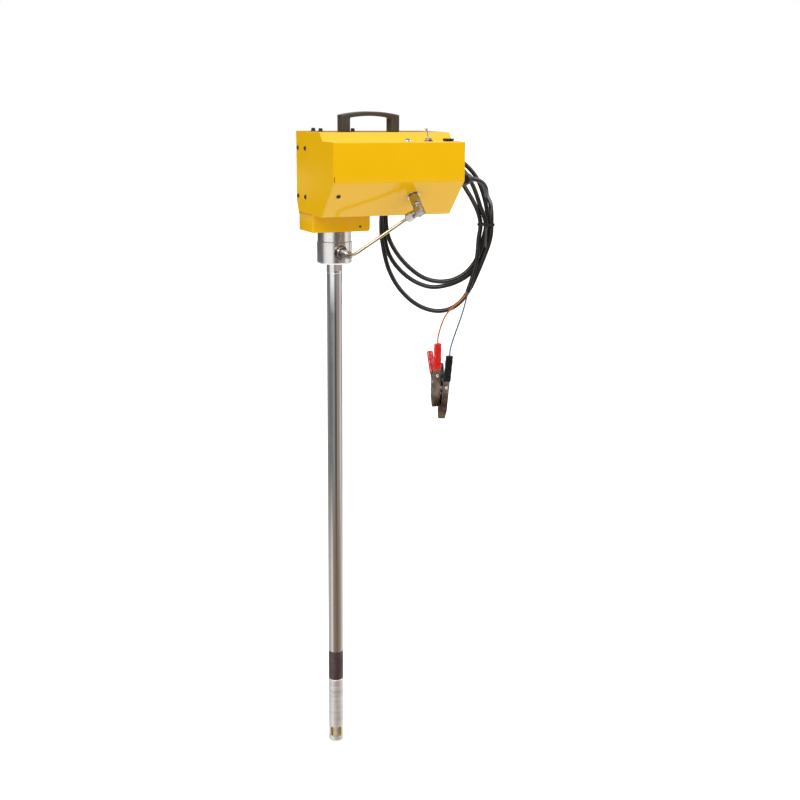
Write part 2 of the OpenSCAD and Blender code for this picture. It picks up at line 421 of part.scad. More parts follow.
front_shell();
rear_shell();
skirt_bracket();
skirt_plug();
carry_handle();
handle_screws();
panel_screws();
top_screws();
switch_body();
switch_nut();
switch_lever();
lamp_body();
lamp_lens();
fuse_body();
fuse_cap();
gland_body();
gland_nut();
power_cable();
cable_tie();
cable_hook();
orange_wire();
blue_wire();
red_jaw();
red_arm();
red_grip();
red_arm_grip();
black_jaw();
black_arm();
black_grip();
black_arm_grip();
jaw_pivots();
jaw_springs();
wire_rivets();
bulkhead_body();
pipe_elbow();
pipe_nuts();
pressure_pipe();
port_adapter();
block_upper();
block_gasket();
block_lower();
tube_neck();
suction_tube();
pump_cylinder();
foot_tube();
valve_seat();
valve_ring();
pump_rod();
piston();
shovel_piston();
rod_seal();
gear_case();
frame_bolts();
gear_motor();
pinion();
crankshaft();
crank_bearing();
rod_yoke();
pressure_switch();
relay_board();
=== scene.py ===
import math
import bmesh
import bpy
from mathutils import Matrix, Vector


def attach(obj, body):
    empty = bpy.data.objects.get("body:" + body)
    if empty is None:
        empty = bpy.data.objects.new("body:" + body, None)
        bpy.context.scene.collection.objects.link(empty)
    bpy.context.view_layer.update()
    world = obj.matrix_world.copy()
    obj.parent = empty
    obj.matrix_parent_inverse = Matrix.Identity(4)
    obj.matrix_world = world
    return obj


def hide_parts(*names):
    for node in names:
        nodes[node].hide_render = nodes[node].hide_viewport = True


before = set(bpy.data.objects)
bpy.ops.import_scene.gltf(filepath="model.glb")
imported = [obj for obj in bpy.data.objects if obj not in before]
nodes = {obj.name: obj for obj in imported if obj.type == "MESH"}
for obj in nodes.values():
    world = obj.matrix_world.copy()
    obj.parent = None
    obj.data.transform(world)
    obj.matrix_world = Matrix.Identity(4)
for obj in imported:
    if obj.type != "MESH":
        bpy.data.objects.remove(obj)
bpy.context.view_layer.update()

scene = bpy.context.scene
S = 0.001  # lengths below are in mm until a mesh is written
sin, cos, pi = math.sin, math.cos, math.pi


def rad(a):
    return a * pi / 180.0


# ------------------------------------------------------------------ camera
r2 = Vector((0.91056337, -0.41326908, 0.00911102))
u2 = Vector((0.08984959, 0.21938499, 0.97149229))
fw = Vector((0.40348655, 0.88378668, -0.23689600))
cam_data = bpy.data.cameras.new("camera")
cam_data.lens = 54.8426
cam_data.sensor_width = 36.0
cam_data.clip_start = 0.05
cam_data.clip_end = 100.0
cam = bpy.data.objects.new("camera", cam_data)
scene.collection.objects.link(cam)
cam.matrix_world = Matrix((
    (r2.x, u2.x, -fw.x, -0.79259),
    (r2.y, u2.y, -fw.y, -2.02287),
    (r2.z, u2.z, -fw.z, 0.27822),
    (0, 0, 0, 1)))
scene.camera = cam
scene.view_settings.view_transform = "Standard"

# ------------------------------------------------------------------ figures from the CAD, mm
T = 1.5
X0, X1 = -54.0, 188.0
PROF = [(47, 229), (-71, 229), (-84, 215), (-134, 215), (-134, 148.5), (-78, 88), (37, 88), (47, 110)]
SL_A = math.degrees(math.atan2(60.5, -56))
_n = math.hypot(56, -60.5)
SL_U = (56 / _n, -60.5 / _n)
CTL_Y, CTL_Z = -109.0, 215.0
RED_AT = Vector((226, 44.5, -246))
BLACK_AT = Vector((243, 41.7, -271))
LEAN = 5.5
CABLE_D, WIRE_D = 8.5, 3.0
ZPORT = 21.5
ZF, ZC0, ZC1 = -936.0, -805.0, -747.0
RT, RI = 14.0, 12.0


# ------------------------------------------------------------------ small matrix helpers, mm
def tr(x, y, z):
    return Matrix.Translation((x, y, z))


def rx(a):
    return Matrix.Rotation(rad(a), 4, "X")


def ry(a):
    return Matrix.Rotation(rad(a), 4, "Y")


def rz(a):
    return Matrix.Rotation(rad(a), 4, "Z")


def frame_of(o, d):
    d = Vector(d).normalized()
    return tr(*o) @ rz(math.degrees(math.atan2(d.y, d.x))) @ ry(math.degrees(math.acos(max(-1, min(1, d.z)))))


def slant(x, s):
    return tr(x, -134 + SL_U[0] * s, 148.5 + SL_U[1] * s) @ rx(SL_A)


AT_RED = tr(*RED_AT)
AT_BLACK = tr(*BLACK_AT) @ ry(LEAN)

# ------------------------------------------------------------------ materials


class Mat:
    """One procedural material: a Principled shader with noise-driven colour, roughness and bump."""

    def __init__(self, name):
        self.m = bpy.data.materials.new(name)
        self.m.use_nodes = True
        self.nt = self.m.node_tree
        self.nt.nodes.clear()
        self.out = self.nt.nodes.new("ShaderNodeOutputMaterial")
        self.b = self.nt.nodes.new("ShaderNodeBsdfPrincipled")
        self.nt.links.new(self.b.outputs[0], self.out.inputs[0])
        tc = self.nt.nodes.new("ShaderNodeTexCoord")
        self.co = tc.outputs["Object"]
        self.h = None

    def set(self, **kw):
        for k, v in kw.items():
            self.b.inputs[k.replace("_", " ")].default_value = v
        return self

    def node(self, kind, **kw):
        n = self.nt.nodes.new(kind)
        for k, v in kw.items():
            setattr(n, k, v)
        return n

    def link(self, a, b):
        self.nt.links.new(a, b)

    def stretch(self, sx, sy, sz, rot=(0, 0, 0)):
        n = self.node("ShaderNodeMapping")
        n.inputs["Scale"].default_value = (sx, sy, sz)
        n.inputs["Rotation"].default_value = rot
        self.link(self.co, n.inputs["Vector"])
        return n.outputs[0]

    def noise(self, scale, detail=4.0, rough=0.55, co=None):
        n = self.node("ShaderNodeTexNoise")
        n.inputs["Scale"].default_value = scale
        n.inputs["Detail"].default_value = detail
        n.inputs["Roughness"].default_value = rough
        self.link(co or self.co, n.inputs["Vector"])
        return n.outputs["Fac"]

    def ramp(self, fac, stops):
        n = self.node("ShaderNodeValToRGB")
        e = n.color_ramp.elements
        while len(e) < len(stops):
            e.new(0.5)
        for i, (p, c) in enumerate(stops):
            e[i].position = p
            e[i].color = (c, c, c, 1) if isinstance(c, (int, float)) else (*c, 1)
        self.link(fac, n.inputs[0])
        return n.outputs[0]

    def math(self, op, a, b=0.0):
        n = self.node("ShaderNodeMath", operation=op)
        for i, v in enumerate((a, b)):
            if isinstance(v, (int, float)):
                n.inputs[i].default_value = v
            else:
                self.link(v, n.inputs[i])
        return n.outputs[0]

    def mix(self, fac, a, b, mode="MIX"):
        n = self.node("ShaderNodeMix", data_type="RGBA", blend_type=mode)
        for sock, v in ((n.inputs[0], fac), (n.inputs[6], a), (n.inputs[7], b)):
            if isinstance(v, tuple):
                sock.default_value = (*v, 1)
            elif isinstance(v, (int, float)):
                sock.default_value = v
            else:
                self.link(v, sock)
        return n.outputs[2]

    def colour(self, v):
        self.link(v, self.b.inputs["Base Color"])
        return self

    def rough(self, v):
        self.link(v, self.b.inputs["Roughness"])
        return self

    def bump(self, h, dist, strength=1.0):
        n = self.node("ShaderNodeBump")
        n.inputs["Distance"].default_value = dist
        n.inputs["Strength"].default_value = strength
        self.link(h, n.inputs["Height"])
        if self.h is not None:
            self.link(self.h, n.inputs["Normal"])
        self.h = n.outputs[0]
        self.link(self.h, self.b.inputs["Normal"])
        return self


def paint(name, a, b, rough=(0.09, 0.13), peel=0.000012):
    k = Mat(name)
    k.set(IOR=1.5)
    k.colour(k.ramp(k.noise(14, 3), [(0.35, a), (0.7, b)]))
    k.rough(k.ramp(k.noise(60, 2), [(0.3, rough[0]), (0.75, rough[1])]))
    k.bump(k.noise(330, 2, 0.5), peel, 0.4)
    return k.m


def metal(name, a, b, rough, scale=60, grain=None, dist=0.00003, speck=900, aniso=0.0, strength=0.5):
    """grain stretches the noise along one axis, such as (1, 1, 40) for rings round Z."""
    k = Mat(name)
    k.set(Metallic=1.0)
    co = k.stretch(*grain) if grain else None
    k.colour(k.ramp(k.noise(scale, 5, 0.6), [(0.3, a), (0.72, b)]))
    k.rough(k.ramp(k.noise(scale * 2.3, 4, 0.6, co), [(0.3, rough[0]), (0.75, rough[1])]))
    k.bump(k.noise(speck, 3, 0.6, co), dist, strength)
    if aniso:
        k.set(Anisotropic=aniso)
    return k.m


def plastic(name, a, b, rough, grain=1400, dist=0.00005, strength=0.6, ior=1.46, coat=0.0):
    k = Mat(name)
    k.set(IOR=ior)
    k.colour(k.ramp(k.noise(45, 4), [(0.3, a), (0.7, b)]))
    k.rough(k.ramp(k.noise(120, 3), [(0.3, rough[0]), (0.75, rough[1])]))
    k.bump(k.noise(grain, 2, 0.5), dist, strength)
    if coat:
        k.set(Coat_Weight=coat, Coat_Roughness=0.08)
    return k.m


def turned(name, a, b, rough, period=0.0006, depth=0.000012, aniso=0.0):
    """Lathe-turned metal: fine rings round Z with uneven depth."""
    k = Mat(name)
    k.set(Metallic=1.0)
    rings = k.stretch(6, 6, 1 / period)
    k.colour(k.ramp(k.noise(30, 5, 0.6), [(0.3, a), (0.72, b)]))
    k.rough(k.ramp(k.noise(1.0, 3, 0.6, rings), [(0.3, rough[0]), (0.75, rough[1])]))
    k.bump(k.noise(1.0, 2, 0.6, rings), depth, 0.6)
    k.bump(k.noise(500, 3, 0.6), depth, 0.25)
    if aniso:
        k.set(Anisotropic=aniso)
    return k.m


YEL_A, YEL_B = (0.845, 0.468, 0.0012), (0.865, 0.482, 0.0016)
M = {}
M["yellow"] = paint("yellow_paint", YEL_A, YEL_B)
M["handle"] = plastic("handle_plastic", (0.040, 0.034, 0.030), (0.056, 0.048, 0.042), (0.40, 0.52), 1600, 0.00003, 0.5)
M["screw"] = plastic("black_screws", (0.010, 0.009, 0.009), (0.020, 0.018, 0.017), (0.28, 0.42), 900, 0.00003, 0.5)
M["chrome"] = metal("chromed_steel", (0.80, 0.80, 0.81), (0.86, 0.86, 0.86), (0.05, 0.12), 40, None, 0.000004, 400)
M["plated"] = metal("plated_steel", (0.44, 0.42, 0.40), (0.58, 0.56, 0.53), (0.14, 0.28), 90, None, 0.00001, 500, strength=0.6)
M["plated_rough"] = metal("plated_forging", (0.29, 0.265, 0.255), (0.44, 0.41, 0.395), (0.18, 0.34), 160, None, 0.00003, 420, strength=0.8)
M["zinc"] = metal("zinc_plate", (0.72, 0.73, 0.73), (0.84, 0.85, 0.85), (0.22, 0.38), 70, None, 0.000015, 500)
M["dark_steel"] = metal("dark_steel", (0.13, 0.11, 0.10), (0.26, 0.23, 0.21), (0.30, 0.46), 80, None, 0.00006, 600)
M["fitting"] = metal("port_fitting", (0.20, 0.18, 0.16), (0.42, 0.39, 0.35), (0.18, 0.34), 120, None, 0.00004, 500)
M["block"] = turned("turned_steel", (0.76, 0.73, 0.71), (0.88, 0.855, 0.84), (0.13, 0.24), 0.0009, 0.000006)
M["brass"] = turned("brass", (0.62, 0.42, 0.12), (0.74, 0.52, 0.18), (0.22, 0.36))
M["black_plastic"] = plastic("black_plastic", (0.007, 0.007, 0.007), (0.013, 0.012, 0.012), (0.24, 0.36), 800, 0.00003, 0.4)
M["cable"] = plastic("cable_rubber", (0.012, 0.010, 0.009), (0.022, 0.019, 0.018), (0.10, 0.19), 700, 0.00001, 0.5, 1.52)
# painted shade: this dark olive colour, used only on the skirt plug, stands in for the shade inside the skirt hole
M["plug"] = plastic("plug_dark_painted_shade", (0.050, 0.042, 0.018), (0.075, 0.063, 0.028), (0.30, 0.45))
M["gasket"] = metal("gasket_brass", (0.40, 0.34, 0.25), (0.52, 0.45, 0.34), (0.40, 0.55), 120)
M["tie"] = plastic("tie_nylon", (0.008, 0.008, 0.008), (0.016, 0.015, 0.015), (0.30, 0.42), 700, 0.00003, 0.4)
M["orange"] = plastic("orange_wire", (0.52, 0.125, 0.010), (0.62, 0.165, 0.016), (0.30, 0.42), 500, 0.00003, 0.4)
M["blue"] = plastic("blue_wire", (0.060, 0.110, 0.27), (0.085, 0.15, 0.34), (0.30, 0.42), 500, 0.00003, 0.4)
M["red_vinyl"] = plastic("red_vinyl", (0.62, 0.006, 0.006), (0.76, 0.014, 0.012), (0.06, 0.15), 105, 0.0025, 0.8, 1.5, 0.5)
M["black_vinyl"] = plastic("black_vinyl", (0.006, 0.006, 0.007), (0.014, 0.013, 0.014), (0.10, 0.20), 105, 0.0022, 0.8, 1.38, 0.10)
M["seal"] = plastic("seal_rubber", (0.010, 0.010, 0.010), (0.022, 0.022, 0.022), (0.5, 0.65))
M["alu"] = metal("cast_aluminium", (0.50, 0.51, 0.53), (0.62, 0.63, 0.65), (0.38, 0.55), 60, None, 0.00012, 350, strength=0.8)
M["motor"] = paint("motor_paint", (0.016, 0.016, 0.018), (0.026, 0.026, 0.028), (0.35, 0.5), 0.00004)
M["board"] = plastic("circuit_board", (0.008, 0.085, 0.030), (0.014, 0.12, 0.045), (0.25, 0.4))


def jaw_metal(name):
    """Bright plated strip; its long dark-brown patches are a painted reflection of the dark brown room."""
    k = Mat(name)
    k.set(Metallic=1.0)
    # painted reflection: noise patches of dark brown stand in for the brown room mirrored in the strip
    reflection_patches = k.noise(26, 5, 0.62)
    fine = k.noise(160, 4, 0.6)
    k.colour(k.mix(0.35, k.ramp(reflection_patches, [(0.36, (0.10, 0.075, 0.060)), (0.50, (0.30, 0.25, 0.21)), (0.60, (0.55, 0.52, 0.46)), (0.74, (0.72, 0.71, 0.66))]),
                   k.ramp(fine, [(0.3, (0.45, 0.42, 0.38)), (0.7, (1.0, 1.0, 0.98))]), "MULTIPLY"))
    k.rough(k.ramp(k.noise(220, 4, 0.6), [(0.3, 0.12), (0.75, 0.28)]))
    k.bump(k.noise(90, 3, 0.6), 0.0002, 0.35)
    k.bump(k.noise(600, 3, 0.6), 0.00002, 0.5)
    return k.m


def pipe_metal():
    k = Mat("pipe_zinc_yellow")
    k.set(Metallic=1.0)
    k.colour(k.ramp(k.noise(55, 4, 0.6), [(0.3, (0.40, 0.345, 0.225)), (0.7, (0.56, 0.50, 0.36))]))
    k.rough(k.ramp(k.noise(240, 3), [(0.3, 0.20), (0.75, 0.32)]))
    k.bump(k.noise(800, 2), 0.00002, 0.4)
    return k.m


def foot_metal():
    """Zinc-plated steel with uneven turning rings and a bluish film."""
    k = Mat("foot_zinc")
    k.set(Metallic=0.85)
    rings = k.stretch(14, 14, 420)
    base = k.ramp(k.noise(34, 4, 0.6), [(0.32, (0.84, 0.85, 0.85)), (0.62, (0.96, 0.96, 0.95)), (0.80, (0.80, 0.87, 0.95))])
    k.colour(k.mix(0.5, base, k.ramp(k.noise(1.0, 5, 0.7, rings), [(0.36, (0.55, 0.55, 0.54)), (0.52, (0.95, 0.94, 0.92))]), "MULTIPLY"))
    k.rough(k.ramp(k.noise(1.0, 4, 0.6, rings), [(0.3, 0.30), (0.75, 0.5)]))
    k.bump(k.noise(1.0, 3, 0.7, rings), 0.00012, 0.6)
    k.bump(k.noise(900, 2), 0.00005, 0.4)
    return k.m


def band_metal():
    """The dark, blued pump cylinder: brown-black with stains and light scratches."""
    k = Mat("cylinder_blued")
    k.set(Metallic=0.9)
    k.colour(k.ramp(k.noise(60, 6, 0.65), [(0.3, (0.095, 0.070, 0.070)), (0.6, (0.165, 0.130, 0.130)), (0.82, (0.27, 0.235, 0.24))]))
    k.rough(k.ramp(k.noise(180, 4, 0.6), [(0.3, 0.32), (0.75, 0.5)]))
    k.bump(k.noise(500, 3), 0.00006, 0.5)
    return k.m


def tube_chrome():
    """Hard-chromed tube: nearly a mirror, with very faint long waves from grinding."""
    k = Mat("tube_chrome")
    k.set(Metallic=1.0)
    long = k.stretch(240, 240, 4)
    k.colour(k.ramp(k.noise(1.0, 3, 0.55, long), [(0.3, (0.60, 0.60, 0.59)), (0.7, (0.69, 0.69, 0.685))]))
    k.rough(k.ramp(k.noise(26, 4, 0.6), [(0.3, 0.05), (0.75, 0.13)]))
    k.bump(k.noise(1.0, 2, 0.5, long), 0.00006, 0.5)
    k.bump(k.noise(420, 3), 0.000005, 0.5)
    return k.m


def lens_glass():
    k = Mat("lamp_green")
    k.set(Roughness=0.06, IOR=1.5, Transmission_Weight=0.35)
    k.colour(k.ramp(k.noise(300, 3), [(0.3, (0.004, 0.26, 0.10)), (0.7, (0.010, 0.36, 0.15))]))
    k.bump(k.noise(500, 2), 0.00003, 0.5)
    return k.m


M["jaw"] = jaw_metal("clamp_strip")
M["pipe"] = pipe_metal()
M["foot"] = foot_metal()
M["band"] = band_metal()
M["tube"] = tube_chrome()
M["lens"] = lens_glass()

# ------------------------------------------------------------------ building


def put(name, verts, faces, mat, body, rep=(), slot=None, m=None, smooth=32, weld=1e-4):
    """A mesh object from mm figures, welded, with outward normals, riding on a body."""
    bm = bmesh.new()
    vs = [bm.verts.new((m @ Vector(v)) if m is not None else Vector(v)) for v in verts]
    for f in faces:
        try:
            bm.faces.new([vs[i] for i in f])
        except ValueError:
            pass
    return put_bm(name, bm, mat, body, rep, smooth, weld)


BUILT = []


def put_bm(name, bm, mat, body, rep=(), smooth=32, weld=1e-4):
    bmesh.ops.remove_doubles(bm, verts=bm.verts, dist=weld)
    bmesh.ops.recalc_face_normals(bm, faces=bm.faces)
    bmesh.ops.scale(bm, vec=(S, S, S), verts=bm.verts)
    me = bpy.data.meshes.new(name)
    bm.to_mesh(me)
    bm.free()
    finish_mesh(me, smooth)
    o = bpy.data.objects.new(name, me)
    scene.collection.objects.link(o)
    me.materials.append(M[mat] if isinstance(mat, str) else mat)
    BUILT.append(o)
    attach(o, body)
    if rep:
        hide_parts(*([rep] if isinstance(rep, str) else rep))
    return o


def finish_mesh(me, smooth):
    for p in me.polygons:
        p.use_smooth = True
    me.set_sharp_from_angle(angle=rad(smooth))


def polar(rings, n=48, m=None, loop=False, a0=0.0):
    """Rings of (r, h), each a number or a function of the angle in degrees; r 0 is a point."""
    vs, fs, rows = [], [], []
    for r, h in rings:
        if not callable(r) and r == 0:
            rows.append([len(vs)])
            vs.append((0, 0, h(0) if callable(h) else h))
            continue
        row = []
        for k in range(n):
            a = a0 + 360.0 * k / n
            rr = r(a) if callable(r) else r
            hh = h(a) if callable(h) else h
            row.append(len(vs))
            vs.append((rr * cos(rad(a)), rr * sin(rad(a)), hh))
        rows.append(row)
    pairs = list(zip(rows, rows[1:]))
    if loop:
        pairs.append((rows[-1], rows[0]))
    else:
        for row in (rows[0], rows[-1]):
            if len(row) > 1:
                fs.append(tuple(row))
    for A, B in pairs:
        for k in range(n):
            q = (k + 1) % n
            if len(A) == 1 and len(B) == 1:
                continue
            if len(A) == 1:
                fs.append((A[0], B[k], B[q]))
            elif len(B) == 1:
                fs.append((A[k], A[q], B[0]))
            else:
                fs.append((A[k], A[q], B[q], B[k]))
    if m is not None:
        vs = [tuple(m @ Vector(v)) for v in vs]
    return vs, fs


def joined(*shapes):
    vs, fs = [], []
    for v, f in shapes:
        o = len(vs)
        vs += list(v)
        fs += [tuple(i + o for i in g) for g in f]
    return vs, fs


def hexr(af):
    return lambda a: af / 2 / cos(rad(((a % 60) - 30)))


def nut(af, h0, h1, bore, m=None, crown=0.94, n=72):
    """A hexagon nut with both ends chamfered; bore 0 closes it."""
    R, rc = hexr(af), af / 2 * crown

    def ch(a):
        return (R(a) - rc) * 0.55

    rings = [(rc, h0), (R, lambda a: h0 + ch(a)), (R, lambda a: h1 - ch(a)), (rc, h1)]
    if bore:
        rings = [(bore, h0 + 0.4), (bore + 0.4, h0)] + rings + [(bore + 0.4, h1), (bore, h1 - 0.4)]
        return polar(rings, n, m, loop=True)
    return polar([(0, h0)] + rings + [(0, h1)], n, m)


def rounded_ring(r0, r1, h0, h1, c=0.3, m=None, n=64):
    """A washer or bush with rounded edges."""
    return polar([(r0, h0 + c), (r0 + c, h0), (r1 - c, h0), (r1 - c * 0.3, h0 + c * 0.3), (r1, h0 + c), (r1, h1 - c),
                  (r1 - c * 0.3, h1 - c * 0.3), (r1 - c, h1), (r0 + c, h1), (r0, h1 - c)], n, m, loop=True)


def rod(r, h0, h1, c=0.3, m=None, n=48):
    return polar([(0, h0), (r - c, h0), (r - c * 0.3, h0 + c * 0.3), (r, h0 + c), (r, h1 - c),
                  (r - c * 0.3, h1 - c * 0.3), (r - c, h1), (0, h1)], n, m)


def fillet(P, radii, seg=5, closed=True):
    """Round the corners of a 2D outline; radii is one number or one for each corner."""
    out, n = [], len(P)
    for i in range(n):
        b = Vector(P[i])
        r = radii if isinstance(radii, (int, float)) else radii[i]
        if r <= 0 or (not closed and i in (0, n - 1)):
            out.append((b.x, b.y))
            continue
        a, c = Vector(P[i - 1]), Vector(P[(i + 1) % n])
        u, v = (a - b).normalized(), (c - b).normalized()
        half = math.acos(max(-1, min(1, u.dot(v)))) / 2
        d = min(r / math.tan(half), 0.49 * (a - b).length, 0.49 * (c - b).length)
        rr = d * math.tan(half)
        ctr = b + (u + v).normalized() * (rr / sin(half))
        s, e = b + u * d - ctr, b + v * d - ctr
        a0, a1 = math.atan2(s.y, s.x), math.atan2(e.y, e.x)
        while a1 - a0 > pi:
            a1 -= 2 * pi
        while a1 - a0 < -pi:
            a1 += 2 * pi
        for k in range(seg + 1):
            w = a0 + (a1 - a0) * k / seg
            out.append((ctr.x + rr * cos(w), ctr.y + rr * sin(w)))
    return out


def bevel(o, width, seg=3, angle=40):
    """Round an object's edges, in mm."""
    md = o.modifiers.new("round", "BEVEL")
    md.width = width * S
    md.segments = seg
    md.limit_method = "ANGLE"
    md.angle_limit = rad(angle)
    md.use_clamp_overlap = True
    md.harden_normals = True
    return o


def solidify(o, t, offset=-1.0):
    md = o.modifiers.new("sheet", "SOLIDIFY")
    md.thickness = t * S
    md.offset = offset
    md.use_even_offset = True
    md.use_quality_normals = True
    return o


def apply_mods(o):
    bpy.context.view_layer.update()
    dg = bpy.context.evaluated_depsgraph_get()
    me = bpy.data.meshes.new_from_object(o.evaluated_get(dg))
    old = o.data
    o.modifiers.clear()
    o.data = me
    me.name = o.name
    bpy.data.meshes.remove(old)
    finish_mesh(me, 32)
    return o


def cut(o, verts, faces):
    """Boolean difference with a closed mm mesh, applied at once."""
    bm = bmesh.new()
    vs = [bm.verts.new(Vector(v) * S) for v in verts]
    for f in faces:
        bm.faces.new([vs[i] for i in f])
    bmesh.ops.recalc_face_normals(bm, faces=bm.faces)
    me = bpy.data.meshes.new("cutter")
    bm.to_mesh(me)
    bm.free()
    c = bpy.data.objects.new("cutter", me)
    scene.collection.objects.link(c)
    md = o.modifiers.new("cut", "BOOLEAN")
    md.operation = "DIFFERENCE"
    md.solver = "EXACT"
    md.object = c
    apply_mods(o)
    bpy.data.objects.remove(c)
    bpy.data.meshes.remove(me)
    return o


def boxes(a, b):
    x0, y0, z0 = a
    x1, y1, z1 = b
    return ([(x0, y0, z0), (x1, y0, z0), (x1, y1, z0), (x0, y1, z0), (x0, y0, z1), (x1, y0, z1), (x1, y1, z1), (x0, y1, z1)],
            [(0, 3, 2, 1), (4, 5, 6, 7), (0, 1, 5, 4), (1, 2, 6, 5), (2, 3, 7, 6), (3, 0, 4, 7)])


def prism(poly, h0, h1, m=None):
    """A 2D outline extruded along Z of m."""
    n = len(poly)
    vs = [(x, y, h0) for x, y in poly] + [(x, y, h1) for x, y in poly]
    fs = [tuple(range(n - 1, -1, -1)), tuple(range(n, 2 * n))] + [(i, (i + 1) % n, n + (i + 1) % n, n + i) for i in range(n)]
    if m is not None:
        vs = [tuple(m @ Vector(v)) for v in vs]
    return vs, fs


ALONG_X = Matrix(((0, 0, 1, 0), (1, 0, 0, 0), (0, 1, 0, 0), (0, 0, 0, 1)))  # (y, z, x) -> (x, y, z)


def spline(P, sub=6):
    """Points through P, in mm, on a centripetal Catmull-Rom curve."""
    P = [Vector(p) for p in P]
    Q = [P[0] * 2 - P[1]] + P + [P[-1] * 2 - P[-2]]
    out = []
    for i in range(1, len(Q) - 2):
        p0, p1, p2, p3 = Q[i - 1:i + 3]
        t0 = 0.0
        t1 = t0 + max((p1 - p0).length, 1e-6) ** 0.5
        t2 = t1 + max((p2 - p1).length, 1e-6) ** 0.5
        t3 = t2 + max((p3 - p2).length, 1e-6) ** 0.5
        for k in range(sub):
            t = t1 + (t2 - t1) * k / sub
            a1 = p0 * ((t1 - t) / (t1 - t0)) + p1 * ((t - t0) / (t1 - t0))
            a2 = p1 * ((t2 - t) / (t2 - t1)) + p2 * ((t - t1) / (t2 - t1))
            a3 = p2 * ((t3 - t) / (t3 - t2)) + p3 * ((t - t2) / (t3 - t2))
            b1 = a1 * ((t2 - t) / (t2 - t0)) + a2 * ((t - t0) / (t2 - t0))
            b2 = a2 * ((t3 - t) / (t3 - t1)) + a3 * ((t - t1) / (t3 - t1))
            out.append(b1 * ((t2 - t) / (t2 - t1)) + b2 * ((t - t1) / (t2 - t1)))
    out.append(P[-1])
    return out


def sweep(P, r, n=16, cap=True):
    """A round tube through close points; r is a number or a function of the share of the way."""
    P = [Vector(p) for p in P]
    L = len(P)
    tan = [(P[min(i + 1, L - 1)] - P[max(i - 1, 0)]).normalized() for i in range(L)]
    q = tan[0].cross(Vector((0, 0, 1)) if abs(tan[0].z) < 0.8 else Vector((1, 0, 0))).normalized()
    vs, fs = [], []
    for i in range(L):
        q = (q - tan[i] * q.dot(tan[i])).normalized()
        w = tan[i].cross(q)
        rr = r(i / (L - 1)) if callable(r) else r
        for k in range(n):
            a = 2 * pi * k / n
            vs.append(tuple(P[i] + (q * cos(a) + w * sin(a)) * rr))
    for i in range(L - 1):
        for k in range(n):
            j = (k + 1) % n
            fs.append((i * n + k, i * n + j, (i + 1) * n + j, (i + 1) * n + k))
    if cap:
        fs.append(tuple(range(n - 1, -1, -1)))
        fs.append(tuple((L - 1) * n + k for k in range(n)))
    return vs, fs


def curve_piece(name, P, d, mat, body, rep, res=5):
    cu = bpy.data.curves.new(name, "CURVE")
    cu.dimensions = "3D"
    cu.bevel_depth = d / 2 * S
    cu.bevel_resolution = res
    cu.use_fill_caps = True
    sp = cu.splines.new("POLY")
    sp.points.add(len(P) - 1)
    for p, q in zip(sp.points, P):
        p.co = (q[0] * S, q[1] * S, q[2] * S, 1)
    sp.use_smooth = True
    cu.materials.append(M[mat])
    o = bpy.data.objects.new(name, cu)
    scene.collection.objects.link(o)
    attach(o, body)
    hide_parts(rep)
    return o


HOUSE = "housing"

# ------------------------------------------------------------------ cords
CA, SA = cos(rad(25)), sin(rad(25))


def coil(p):
    u, w, z = p
    return (CA * u + SA * (132 + w), -SA * u + CA * (132 + w), z)


GLAND_X = X1 + 27
GLAND_Z = 150.5
HEAD = [(GLAND_X - 9, -105, GLAND_Z), (GLAND_X, -105, GLAND_Z), (GLAND_X + 12.8, -103.9, 148.3), (GLAND_X + 25.9, -100.1, 142.4),
        (GLAND_X + 35.2, -94.4, 134.4), (GLAND_X + 41.5, -86.8, 126.7), (GLAND_X + 49.4, -74.1, 118.6), (GLAND_X + 58.8, -60.8, 114.1),
        (GLAND_X + 68.1, -47.8, 108.6), (GLAND_X + 77.5, -34.6, 104), (GLAND_X + 86.5, -21.9, 96.8), (GLAND_X + 93.5, -12.1, 85.6),
        (GLAND_X + 97.7, -6.2, 70.8), (GLAND_X + 98.9, -4.5, 56.9)]
COIL = [
    (286, -2.6, 40), (282.5, -0.5, 22), (274, 0, -3), (262, 0, -34), (249, 0, -63), (232, 0, -88), (213, 0, -102),
    (190, 0, -107), (166, 0, -103), (141, 0, -90), (113, 0, -62), (94, 0, -27), (84, 0, 12), (80, 0, 45),
    (81, 0, 80), (88, 0, 114), (103, 0, 146), (125, 0, 172), (150, 0, 186),
    (177, 0, 190), (204, 0, 184), (227, 0, 163), (248, 0, 134), (264, 0, 94), (276, 0, 58), (272, 4, 31),
    (267, 8, 8), (256, 9, -16), (237, 8, -37), (212, 7, -49), (186, 7, -51), (160, 7, -44), (134, 8, -26),
    (109, 9, 2), (93, 9, 33), (88, 9, 66), (91, 9, 101), (104, 9, 138), (126, 9, 169), (151, 9, 186),
    (177, 9.5, 190), (206, 9.5, 186), (234, 9.5, 169), (257, 9.5, 144), (273, 9.5, 105), (281, 9.5, 58),
    (279, 11, 31), (274, 14, 6), (265, 17, -14), (250, 16, -36), (228, 15, -51), (203, 14, -60),
    (175, 14, -63), (144, 15, -53), (115, 17, -31), (95, 18, -3), (86, 18, 28), (84, 19, 62), (89, 19, 100),
    (103, 19, 138), (126, 19, 169), (151, 19, 186),
    (177, 19, 190), (200, 18, 179), (219, 12, 156), (235, 6, 127), (250, 2, 103), (261, 0, 80), (266, 0, 58),
    (263, -1, 30), (261, -4, 0), (256, -7, -28), (250, -9, -50), (244, -9, -68)]
CABLE = [Vector(p) for p in HEAD + [coil(p) for p in COIL]]
CEND = CABLE[-1]
CDIR = (CEND - CABLE[-2]).normalized()
CSIDE = CDIR.cross(Vector((0.42, 0.91, 0))).normalized()
RED_TOP = RED_AT + Vector((0, -8.5, 77))
BLACK_TOP = BLACK_AT + Vector((77 * sin(rad(LEAN)), -8.5, 77 * cos(rad(LEAN))))
LEANV = Vector((sin(rad(LEAN)), 0, cos(rad(LEAN))))
